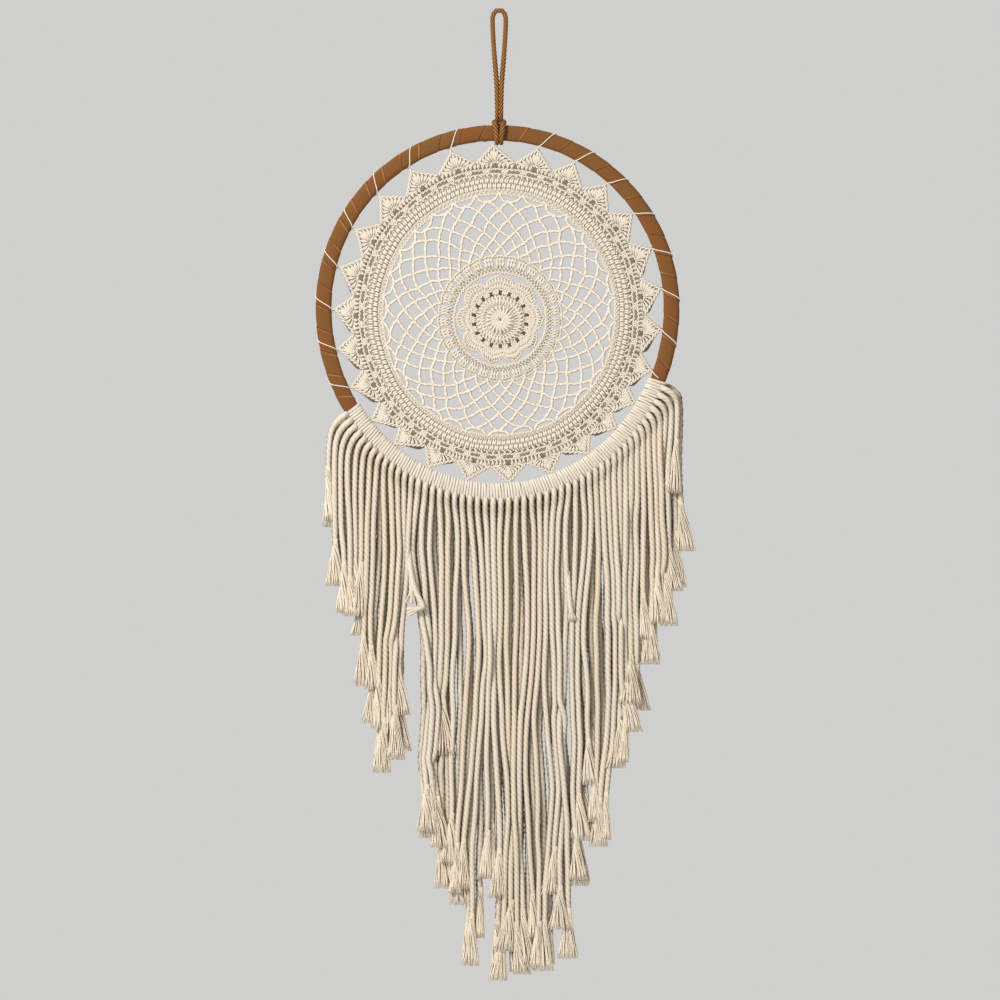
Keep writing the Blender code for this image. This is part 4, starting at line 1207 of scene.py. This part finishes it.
def make_loop(heap):
    """Five plies wound along the closed loop, the frame carried on without turning.

    angle(s) = ply + the frame's drift s + turn length / lay min(s, 1 - s): the plies wind one
    way up one strand and the other way down the other, so that both lean towards the middle.
    """
    line, radii, length = loop_path(LOOP_STEP)
    ahead = line_ahead(line, closed=True)
    aside = [DEEP]
    for direction in [*ahead[1:], ahead[0]]:
        aside.append(unit(aside[-1] - direction * aside[-1].dot(direction)))
    last = aside.pop()
    drift = math.atan2(np.cross(last, aside[0]).dot(ahead[0]), last.dot(aside[0]))
    aside = np.array(aside)
    rings = len(line)
    share = np.arange(rings) / rings
    twist = drift * share + TURN * length / LOOP_LAY * np.minimum(share, 1.0 - share)
    ply = np.arange(LOOP_SIDES) * TURN / LOOP_SIDES
    crease = np.abs(np.sin(LOOP_PLIES / 2.0 * (ply + TURN / 12.0)))
    crease = (crease - crease.min()) / (crease.max() - crease.min())
    angle = ply[None, :] + twist[:, None]
    half = radii[:, None] * (1.06 * (1.0 - 0.2 * crease))
    across = np.cross(ahead, aside)
    points = carry_section(line, aside, across, half, half, angle)
    faces, _ = tube_faces(1, rings, LOOP_SIDES, True)
    strand = strand_places(ply, np.arange(rings) * length / rings / MM)
    out = aside[:, None] * np.cos(angle)[..., None] + across[:, None] * np.sin(angle)[..., None]
    # Painted shade on the flanks away from the front and back and in the grooves between plies, painted
    # highlights on the ply crests.
    flank = (1.0 - np.abs(out[..., 1])) ** 2
    cavity = 0.8 * crease ** 2 - 0.6 * (1.0 - crease) ** 2 + 0.6 * flank
    heap.add(points, faces, (), strand, 0.5, cavity)
    return np.vstack((line, line[:1])), length


# --- the doily --------------------------------------------------------------------------------


def lay(radius, bearing, depth=0.0):
    """Where points of the flat work lie once the doily is laced up."""
    radius, bearing = np.broadcast_arrays(np.asarray(radius, dtype=float), bearing)
    uneven = np.sin(9.0 * bearing + 90.0 * radius) + np.sin(31.0 * bearing - 260.0 * radius + 1.0)
    radius = radius + UNEVENNESS * uneven * np.minimum(1.0, radius / EVEN_BEYOND)
    drawn = np.minimum(1.0, radius / RIM_RADIUS)
    x = ROSETTE_X + RIM_SHIFT_X * drawn ** 2 + radius * np.sin(bearing)
    z = ROSETTE_Z + RIM_LIFT * drawn ** 2 + radius * (1.0 + RIM_STRETCH * drawn ** 1.5) * np.cos(bearing)
    return np.stack(np.broadcast_arrays(x, depth, z), -1)


def tip_place(number):
    """Apex of a fan, on the oval that the tips reach but clear of the ring's centre line."""
    middle = np.array((HOOP_X, HOOP_Z))
    half = np.array((TIP_HALF_WIDTH, TIP_HALF_HEIGHT))
    start = (middle - np.array((TIP_CENTRE_X, TIP_CENTRE_Z))) / half
    way = np.array((math.sin(FAN_TIPS[number]), math.cos(FAN_TIPS[number]))) / half
    along = start.dot(way)
    run = (math.sqrt(along ** 2 + way.dot(way) * (1.0 - start.dot(start))) - along) / way.dot(way)
    tip = middle + way * half * run
    height = HOOP_HALF_TOP if tip[1] > HOOP_Z else HOOP_HALF_BOTTOM
    reach = (tip - middle) / np.array((HOOP_HALF_WIDTH - TIP_CLEARANCE, height - TIP_CLEARANCE))
    return middle + (tip - middle) / max(1.0, np.linalg.norm(reach))


def add_posts(heap, start, end, half, turns=0.5, rings=5, phase=0.15, swell=1.0, gap=0.9, dark=0.3):
    """Tall stitches: two strands that wind round each other from start to end.

    strand(t) = start + (end - start) t +- gap half (across cos w + depth sin w), w = phase + turns t.
    """
    t = np.linspace(0.0, 1.0, rings)[None, :, None]
    axis = start[:, None] + (end - start)[:, None] * t
    across = unit(np.cross(unit(end - start), DEEP))[:, None]
    wind = TURN * (phase + turns * t)
    size = np.broadcast_to(half, (len(start),))[:, None, None] * (1.0 + (swell - 1.0) * t)
    for side in (-1.0, 1.0):
        lines = axis + side * gap * size * wound(across, wind, 1.0, 0.6)
        # dark is the painted shade on the strands' flanks.
        add_tubes(heap, lines, size[..., 0], dark=dark)


def add_rope(heap, line, half, link, closed=False):
    """A row of chain stitches: two strands twisted round the line, a crossing for each link."""
    run = line_run(line)
    length = run[-1]
    steps = max(5, int(round(length / CHAIN_STEP)))
    at = np.linspace(0.0, length, steps, endpoint=not closed)
    even = np.stack([np.interp(at, run, column) for column in line.T], -1)
    _, across, _ = line_frame(even, closed)
    turns = max(1, round(length / link))
    half_turns = 2 * round(turns / 2) if closed else turns
    wind = (math.pi * half_turns * at / length)[:, None]
    for side in (-1.0, 1.0):
        strand = even + side * half * wound(across, wind, 0.95, 0.8)
        add_tubes(heap, strand[None], half, closed=closed)


def add_vees(heap, inner, outer, bearings, half, width):
    """A round of short stitches, each a V of two strands that opens outwards."""
    t = np.linspace(0.0, 1.0, 3)[None, :]
    for side in (-1.0, 1.0):
        spread = side * width / (inner + outer) * (0.35 + 0.9 * t)
        lines = lay(inner + (outer - inner) * t, bearings[:, None] + spread, side * 0.25 * MM)
        add_tubes(heap, lines, half, blunt=0.7)


def add_plate(heap, line, wide, half, cavity, closed=False):
    """The heart of dense work: a thin strip along a line, of a half width and thickness, dark with painted
    shade.
    """
    _, across, _ = line_frame(line, closed)
    wide = np.broadcast_to(wide, (len(line),))[:, None]
    corners = [line + across * wide * a + DEEP * half * b for a, b in ((-1, -1), (1, -1), (1, 1), (-1, 1))]
    faces, caps = tube_faces(1, len(line), 4, closed)
    heap.add(np.stack(corners, 1)[None], faces, caps, cavity=cavity)


def even_bearings(count, shift=0.0):
    """Bearings of evenly spaced stitches."""
    return (np.arange(count) + shift) * TURN / count


def work_round(heap, kind, count, *sizes):
    """One round of stitches, as a row of the tables of rounds gives it."""
    if kind == "chain":
        radius, half, link = np.array(sizes) * MM
        bearing = np.linspace(0.0, TURN, count + 1)
        add_rope(heap, lay(radius * np.ones(count + 1), bearing), half, link, True)
        return
    shift, inner, outer, *rest = sizes
    bearings = even_bearings(count, shift)
    if kind == "short":
        half, width = rest
        add_vees(heap, inner * MM, outer * MM, bearings, half * MM, width * MM)
        return
    if kind == "band":
        start, end = (bearings + lean for lean in BAND_STITCH_LEAN)
        half, winding = BAND_STITCH_HALF, BAND_WINDING
    else:
        start = end = bearings
        half, winding = rest[0] * MM, rest[1:]
    add_posts(heap, lay(inner * MM, start), lay(outer * MM, end), half, *winding)


def work_rounds(stitches, rounds, ground, hearts):
    """Rounds of stitches in order, and the closed hearts of the dense ones."""
    for row in rounds:
        work_round(stitches, *row)
    for count, radius, wide, half, cavity in hearts:
        line = lay(np.full(count, radius * MM), even_bearings(count))
        add_plate(ground, line, wide * MM, half * MM, cavity, True)


def make_rosette(ground, stitches):
    """The middle: two rounds of tall stitches, eighteen eyelets, nine petals and their edging."""
    work_rounds(stitches, ROSETTE_ROUNDS, ground, ROSETTE_HEARTS)
    bearings = np.array(PETALS)
    before = (bearings - np.roll(bearings, 1)) % TURN / 2.0
    after = (np.roll(bearings, -1) - bearings) % TURN / 2.0
    share = np.linspace(-1.0, 1.0, 11)
    finer = np.linspace(-1.0, 1.0, 25)
    for bearing, left, right in zip(bearings, before, after):
        inside = petal_edge(share * 0.97, bearing, left, right, 0.46)
        feet = lay(PETAL_FOOT * MM, bearing + share * 0.93 * np.where(share < 0.0, left, right))
        add_posts(stitches, feet, inside, PETAL_STITCH_HALF, *PETAL_INNER_WINDING)
        between = share[1:] - 0.1
        middle = petal_edge(between, bearing, left, right, 0.4)
        outside = petal_edge(between * 0.95, bearing, left, right, 0.93)
        add_posts(stitches, middle, outside, PETAL_STITCH_HALF, *PETAL_OUTER_WINDING)
        add_rope(stitches, petal_edge(finer, bearing, left, right, 1.0), SCALLOP_HALF, SCALLOP_LINK)
        heart = (petal_edge(share, bearing, left, right, 0.95) + feet) / 2.0
        # A strip of painted shade behind the petal's stitches.
        add_plate(ground, heart, PETAL_HEART, PETAL_HEART_HALF, 0.5)


def petal_edge(aside, bearing, left, right, share):
    """Points across a petal from its left end at -1 to its right at 1, a share of the way out.

    radius = foot + share (2.6 + 7.2 sqrt(1 - |aside|^2.6) + 1.6 exp(-(aside / 0.16)^2)), in mm.
    """
    round_part = 7.2 * np.sqrt(np.maximum(0.0, 1.0 - np.abs(aside) ** 2.6))
    radius = PETAL_FOOT + share * (2.6 + round_part + 1.6 * np.exp(-(aside / 0.16) ** 2))
    return lay(radius * MM, bearing + aside * np.where(aside < 0.0, left, right))


def make_clusters(ground, stitches):
    """The ring of short stitches and the thirty-one clusters of three tall ones outside it."""
    work_rounds(stitches, CLUSTER_ROUNDS, ground, CLUSTER_HEARTS)
    pitch = TURN / NET_CELLS
    wide = CLUSTER_HEART_SHARE * pitch * CLUSTER_HEART_RADIUS
    radius, bow = CLUSTER_CAP
    cap = (radius + bow * np.cos(np.linspace(-1.5, 1.5, 7))) * MM
    for bearing in even_bearings(NET_CELLS):
        heart = lay(np.linspace(*CLUSTER_RADII, 3) * MM, bearing)
        # A strip of painted shade behind the cluster.
        add_plate(ground, heart, wide, CLUSTER_HEART_HALF, 0.6)
        line = lay(cap, bearing + np.linspace(-0.48, 0.48, 7) * pitch)
        add_rope(stitches, line, SCALLOP_HALF, SCALLOP_LINK)


def make_net(ground, stitches):
    """Chains from node to node, a half pitch on from round to round, with a stitch at each node.

    radius(t) = low + (high - low) rise(t), bearing(t) = start +- half a pitch t, where a chain
    rises steeply and then levels out, but the last round hangs from the rim in shallow bows.
    """
    draw = np.random.default_rng(NET_SEED)
    pitch = TURN / NET_CELLS
    t = np.linspace(0.0, 1.0, 8)
    rounds = len(NET_ROUNDS)
    loose = np.ones((rounds, 1))
    loose[[0, -1]] = 0.0
    slip = draw.uniform(-1.0, 1.0, (rounds, NET_CELLS)) * NET_SLIP * pitch * loose
    swing = draw.uniform(-1.0, 1.0, (rounds, NET_CELLS)) * NET_SWING * loose
    for number in range(rounds - 1):
        last = number == rounds - 2
        rise = t ** 3.2 if last else 0.55 * t + 0.45 * np.sin(t * math.pi / 2.0)
        odd = (number + 1) % 2
        starts = even_bearings(NET_CELLS, odd / 2.0) + slip[number]
        lows = NET_ROUNDS[number] + swing[number]
        for side in (-1, 1):
            cells = (np.arange(NET_CELLS) + (side - 1) // 2 + odd) % NET_CELLS
            ends = even_bearings(NET_CELLS, odd / 2.0 + side / 2.0) + slip[number + 1][cells]
            highs = NET_ROUNDS[number + 1] + swing[number + 1][cells]
            reach = lows[:, None] + (highs - lows)[:, None] * rise[None, :]
            lines = lay(reach, starts[:, None] + (ends - starts)[:, None] * t[None, :])
            _, across, _ = line_frame(lines)
            start = draw.uniform(0.0, TURN, NET_CELLS)[:, None]
            wind = (math.pi * NET_TWISTS * t[None, :] + start)[..., None]
            for strand in (-1.0, 1.0):
                shift = strand * NET_STRAND_SHIFT * wound(across, wind, 1.0, 0.7)
                add_tubes(ground, lines + shift, NET_STRAND_HALF, blunt=0.8)
        inner, outer = (lay(lows + reach, starts) for reach in NET_KNOT_REACH)
        add_posts(stitches, inner, outer, NET_KNOT_HALVES[number] * MM, *NET_KNOT_WINDING)


def make_rim(ground, stitches):
    """Short stitches, two staggered rounds of tall ones, the eyelet rows and the pointed fans."""
    work_rounds(stitches, RIM_ROUNDS, ground, RIM_HEARTS)
    bearing = np.array(FAN_TIPS)
    before = np.concatenate(([bearing[-1] - TURN], bearing[:-1]))
    valleys = (before + bearing) / 2.0
    after = np.concatenate((valleys[1:], [valleys[0] + TURN]))
    for aside in LINK_ASIDES:
        links = np.concatenate(((valleys + bearing) / 2.0, (bearing + after) / 2.0)) + aside / LINK_RADIUS
        inner, outer = (lay(radius, links) for radius in LINK_RADII)
        add_posts(stitches, inner, outer, LINK_HALF, rings=4)
    work_rounds(stitches, EDGE_ROUNDS, ground, ())
    for number in range(len(FAN_TIPS)):
        make_fan(ground, stitches, number, bearing[number], valleys[number], after[number])


def make_fan(ground, stitches, number, bearing, valley, after):
    """One point of the edging: its foot round an eyelet, spokes, edging yarn and the tip's knob."""
    place = tip_place(number)
    tip = np.array((place[0], 0.0, place[1]))
    left, right = lay(VALLEY_RADIUS, np.array((valley, after)))
    width = (after - valley) / 2.0 * FAN_RADIUS / FAN_PLAIN_HALF
    inner, outer = (lay(radius, bearing + FAN_FEET * width) for radius in FAN_FEET_RADII)
    add_posts(stitches, inner, outer, FAN_STITCH_HALF, rings=4)
    radius, bow = FAN_ARCH
    arch = (radius + bow * np.cos(FAN_ARCH_ASIDES * 40.0)) * MM
    add_rope(stitches, lay(arch, bearing + FAN_ARCH_ASIDES), FAN_ARCH_HALF, FAN_ARCH_LINK)
    foot = lay(SPOKE_FOOT_RADIUS, np.array([bearing]))[0]
    ends = np.concatenate((left + (tip - left) * SPOKE_ENDS, right + (tip - right) * SPOKE_ENDS, tip[None]))
    ends = foot + (ends - foot) * SPOKE_REACH
    clear = np.concatenate((SPOKE_STARTS, SPOKE_STARTS, [TIP_SPOKE_START]))[:, None] * MM
    starts = foot + unit(ends - foot) * clear
    add_posts(stitches, starts, ends, SPOKE_HALF, *SPOKE_WINDING)
    for corner in (left, right):
        line = np.stack((corner, (corner + tip) / 2.0, tip + (tip - foot) * 0.04))
        add_rope(stitches, line, EDGE_HALF, EDGE_LINK)
    centre = (left + right) / 2.0
    stem = np.stack([centre + (tip - centre) * along for along, _ in FAN_HEART])
    half_width = np.linalg.norm(right - left) / 2.0
    wide = half_width * np.array([share for _, share in FAN_HEART])
    # A strip of painted shade in the fan's heart.
    add_plate(ground, stem, wide, FAN_HEART_HALF, 0.84)
    out = unit(tip - foot)
    below, above = KNOB_REACH
    add_posts(stitches, (tip - out * below)[None], (tip + out * above)[None], FAN_STITCH_HALF, rings=4)


# --- the lacing -------------------------------------------------------------------------------


def tip_angle(number):
    """The hoop parameter that lies opposite a fan's tip."""
    tip = tip_place(number)
    height = HOOP_HALF_TOP if tip[1] > HOOP_Z else HOOP_HALF_BOTTOM
    return math.atan2((tip[1] - HOOP_Z) / height, (tip[0] - HOOP_X) / HOOP_HALF_WIDTH)


def make_lacing(heap, first, last, tucked, half):
    """One thread: from each tip it slants over the front and comes back behind to the next."""
    offset = WRAP_LAP + half
    route = []
    for number in range(first, last + 1):
        here = tip_angle(number)
        place = tip_place(number)
        route.append(np.array(((place[0], THREAD_TIP_DEPTH, place[1]),)))
        turns, sweeps = THREAD_FRONT.T
        if number == last and tucked:
            turns, sweeps = turns[:THREAD_TUCKED], sweeps[:THREAD_TUCKED] * 2.0 * THREAD_TUCK_SWEEP
        else:
            onward = (here - tip_angle(number + 1)) % TURN if number < last else THREAD_LAST_SWEEP
            start = THREAD_FRONT_SWEEP / onward
            back_turns, shares = THREAD_BACK.T
            behind = start + (1.0 - start) * shares
            turns = np.concatenate((turns, back_turns))
            sweeps = np.concatenate((sweeps * THREAD_FRONT_SWEEP, behind * onward))
        radial, depth = ring_section(turns, offset)
        route.append(hoop_point(here - sweeps, radial, depth))
    line = resample(np.concatenate(route), THREAD_STEP)
    out = unit(line - np.array((HOOP_X, 0.0, HOOP_Z)))
    ahead = line_ahead(line)
    aside = unit(np.cross(ahead, out) + 0.05)
    angle = np.arange(THREAD_SIDES) * TURN / THREAD_SIDES
    points = carry_section(line, aside, np.cross(ahead, aside), half, half, angle)
    faces, caps = tube_faces(1, len(line), THREAD_SIDES, False)
    heap.add(points, faces, caps, strand_places(angle, np.arange(len(line)) * THREAD_STEP / MM))


# --- settings, operators and panel ------------------------------------------------------------


def length_setting(name, description, default, least, most):
    """A length that a user can set, with its bounds in mm."""
    return bpy.props.FloatProperty(name=name, description=description, default=default * MM,
                                   min=least * MM, max=most * MM, unit="LENGTH", precision=5)


def colour_setting(name, description, default):
    """A colour that a user can set."""
    return bpy.props.FloatVectorProperty(name=name, description=description, default=default,
                                         subtype="COLOR", min=0.0, max=1.0)


class HangingSettings(bpy.types.PropertyGroup):
    """Sizes and colours of the wall hanging."""

    cord_thickness: length_setting(
        "Cord thickness", "Thickness of the cotton cord", 5.35, 2.0, 8.0)
    cord_lay: length_setting(
        "Cord lay", "Length in which the three plies wind once round the cord", 13.2, 5.0, 40.0)
    tassel_length: length_setting(
        "Frayed length", "Length of the combed-out yarns at a cord's end", 31.0, 5.0, 60.0)
    thread_thickness: length_setting(
        "Lacing thickness", "Thickness of the thread that laces the doily", 0.85, 0.3, 2.0)
    cotton_colour: colour_setting("Cotton", "Colour of the cotton cord", (0.70, 0.615, 0.495))
    crochet_colour: colour_setting("Crochet", "Colour of the crochet cotton", (0.82, 0.74, 0.62))
    suede_colour: colour_setting("Suede", "Colour of the suede lace", (0.178, 0.073, 0.022))
    loop_colour: colour_setting("Loop cord", "Colour of the hanging cord", (0.20, 0.083, 0.018))
    wall_colour: colour_setting("Studio", "Colour of the pale studio", (0.63, 0.625, 0.62))


class HANGING_OT_stage(bpy.types.Operator):
    """Set up the camera, the soft lights and the pale floor"""

    bl_idname = "hanging.stage"
    bl_label = "Stage"

    def execute(self, context):
        settings = context.scene.wall_hanging
        world = bpy.data.worlds.new("studio")
        world.use_nodes = True
        background = world.node_tree.nodes["Background"]
        background.inputs["Color"].default_value = (*settings.wall_colour, 1.0)
        background.inputs["Strength"].default_value = 1.0
        context.scene.world = world
        context.scene.view_settings.view_transform = "Standard"
        for name, place, aim, size, power in LIGHTS:
            light = bpy.data.lights.new(name, "AREA")
            light.energy, light.size = power, size
            lamp = bpy.data.objects.new(name, light)
            context.scene.collection.objects.link(lamp)
            way = np.array(aim) - np.array(place)
            yaw = math.atan2(way[1], way[0]) - math.pi / 2.0
            pitch = math.atan2(way[2], math.hypot(way[0], way[1])) + math.pi / 2.0
            lamp.location = place
            lamp.rotation_euler = (pitch, 0.0, yaw)
        lens = bpy.data.cameras.new("camera")
        lens.sensor_width = SENSOR_WIDTH
        lens.lens = SENSOR_WIDTH * CAMERA_DISTANCE / VIEW_SIZE
        lens.clip_end = CLIP_END
        camera = bpy.data.objects.new("camera", lens)
        camera.location = (VIEW_CENTRE[0], -CAMERA_DISTANCE, VIEW_CENTRE[1])
        camera.rotation_euler = (math.pi / 2.0, 0.0, 0.0)
        context.scene.collection.objects.link(camera)
        context.scene.camera = camera
        heap = Heap()
        bearing = np.arange(FLOOR_SIDES) * TURN / FLOOR_SIDES
        circle = np.stack((np.cos(bearing), np.sin(bearing), 0.0 * bearing), -1)
        points = np.stack([circle * radius + (0.0, 0.0, FLOOR_Z - drop) for radius, drop in FLOOR_PROFILE])
        faces, caps = tube_faces(1, len(FLOOR_PROFILE), FLOOR_SIDES, False)
        heap.add(points, faces, caps)
        mesh = heap.mesh("floor")
        mesh.materials.append(plaster_material("pale_floor", settings.wall_colour))
        floor = bpy.data.objects.new("floor", mesh)
        context.scene.collection.objects.link(floor)
        return {"FINISHED"}


class HANGING_OT_hoop(bpy.types.Operator):
    """Bind the hoop in suede lace"""

    bl_idname = "hanging.hoop"
    bl_label = "Bound hoop"

    def execute(self, context):
        heap = Heap()
        make_binding(heap)
        colour = tuple(context.scene.wall_hanging.suede_colour)
        dress("hoop_binding", heap, suede_material("brown_suede", colour), "suede", "hoop")
        return {"FINISHED"}


class HANGING_OT_loop(bpy.types.Operator):
    """Twist the hanging loop and hitch it to the hoop"""

    bl_idname = "hanging.loop"
    bl_label = "Hanging loop"

    def execute(self, context):
        heap = Heap()
        path, length = make_loop(heap)
        colour = tuple(context.scene.wall_hanging.loop_colour)
        piece = dress("loop_cord", heap, loop_material("brown_cord", colour), "loop_cord", "hanging_loop")
        start = int(np.argmin(path[:-1, 2] + (path[:-1, 1] < 0.0)))
        path = np.vstack((path[start:-1], path[:start + 1]))
        return {"FINISHED"}


class HANGING_OT_knots(bpy.types.Operator):
    """Tie the lark's-head knots along the lower arc"""

    bl_idname = "hanging.knots"
    bl_label = "Knots"

    def execute(self, context):
        heap = Heap()
        make_knots(heap)
        # The knots' cotton is the cords' cotton painted lighter.
        colour = tuple(part ** KNOT_PAINTED_LIGHT_POWER for part in context.scene.wall_hanging.cotton_colour)
        dress("knot_turns", heap, cotton_material("cotton_knots", colour, *CORD_COTTON), "cotton", "fringe")
        return {"FINISHED"}


class HANGING_OT_fringe(bpy.types.Operator):
    """Hang the twisted cords with their frayed ends"""

    bl_idname = "hanging.fringe"
    bl_label = "Fringe"

    def execute(self, context):
        settings = context.scene.wall_hanging
        material = cotton_material("cotton_cord", tuple(settings.cotton_colour), *CORD_COTTON)
        for (row, half), heap in make_fringe(settings).items():
            dress(f"cords_{row}_{half}", heap, material, "cotton", "fringe")
        return {"FINISHED"}


class HANGING_OT_doily(bpy.types.Operator):
    """Work the crochet doily"""

    bl_idname = "hanging.doily"
    bl_label = "Doily"

    def execute(self, context):
        ground, stitches = Heap(), Heap()
        make_rosette(ground, stitches)
        make_clusters(ground, stitches)
        make_net(ground, stitches)
        make_rim(ground, stitches)
        colour = tuple(context.scene.wall_hanging.crochet_colour)
        material = cotton_material("crochet_cotton", colour, *CROCHET_COTTON)
        raised = dress("doily_stitches", stitches, material, "crochet", "doily")
        cloth = dress("doily_ground", ground, material, "crochet", "doily")
        return {"FINISHED"}


class HANGING_OT_lacing(bpy.types.Operator):
    """Lace the doily's points to the hoop"""

    bl_idname = "hanging.lacing"
    bl_label = "Lacing"

    def execute(self, context):
        settings = context.scene.wall_hanging
        material = cotton_material("lacing_thread", tuple(settings.crochet_colour), *CROCHET_COTTON)
        half = settings.thread_thickness / 2.0
        for side, tips, tucked in (("right", LACED_RIGHT, True), ("left", LACED_LEFT, False)):
            heap = Heap()
            make_lacing(heap, *tips, tucked, half)
            dress(f"thread_{side}", heap, material, "crochet", f"lacing_{side}")
        return {"FINISHED"}


OPERATORS = (
    HANGING_OT_stage, HANGING_OT_hoop, HANGING_OT_loop, HANGING_OT_knots, HANGING_OT_fringe,
    HANGING_OT_doily, HANGING_OT_lacing,
)


class HANGING_PT_panel(bpy.types.Panel):
    """Lists the settings and the pieces"""

    bl_idname = "HANGING_PT_panel"
    bl_label = "Wall hanging"
    bl_space_type = "VIEW_3D"
    bl_region_type = "UI"
    bl_category = "Hanging"

    def draw(self, context):
        settings = context.scene.wall_hanging
        for name in HangingSettings.__annotations__:
            self.layout.prop(settings, name)
        for operator in OPERATORS:
            self.layout.operator(operator.bl_idname)


CLASSES = (HangingSettings, *OPERATORS, HANGING_PT_panel)


def register():
    """Register the classes and the scene's settings."""
    for known in CLASSES:
        bpy.utils.register_class(known)
    bpy.types.Scene.wall_hanging = bpy.props.PointerProperty(type=HangingSettings)


def unregister():
    """Take the classes and the settings away again."""
    del bpy.types.Scene.wall_hanging
    for known in reversed(CLASSES):
        bpy.utils.unregister_class(known)


def main():
    """Build every piece in order."""
    register()
    for operator in OPERATORS:
        group, name = operator.bl_idname.split(".")
        getattr(getattr(bpy.ops, group), name)()
    bpy.context.view_layer.update()


if __name__ == "__main__":
    main()
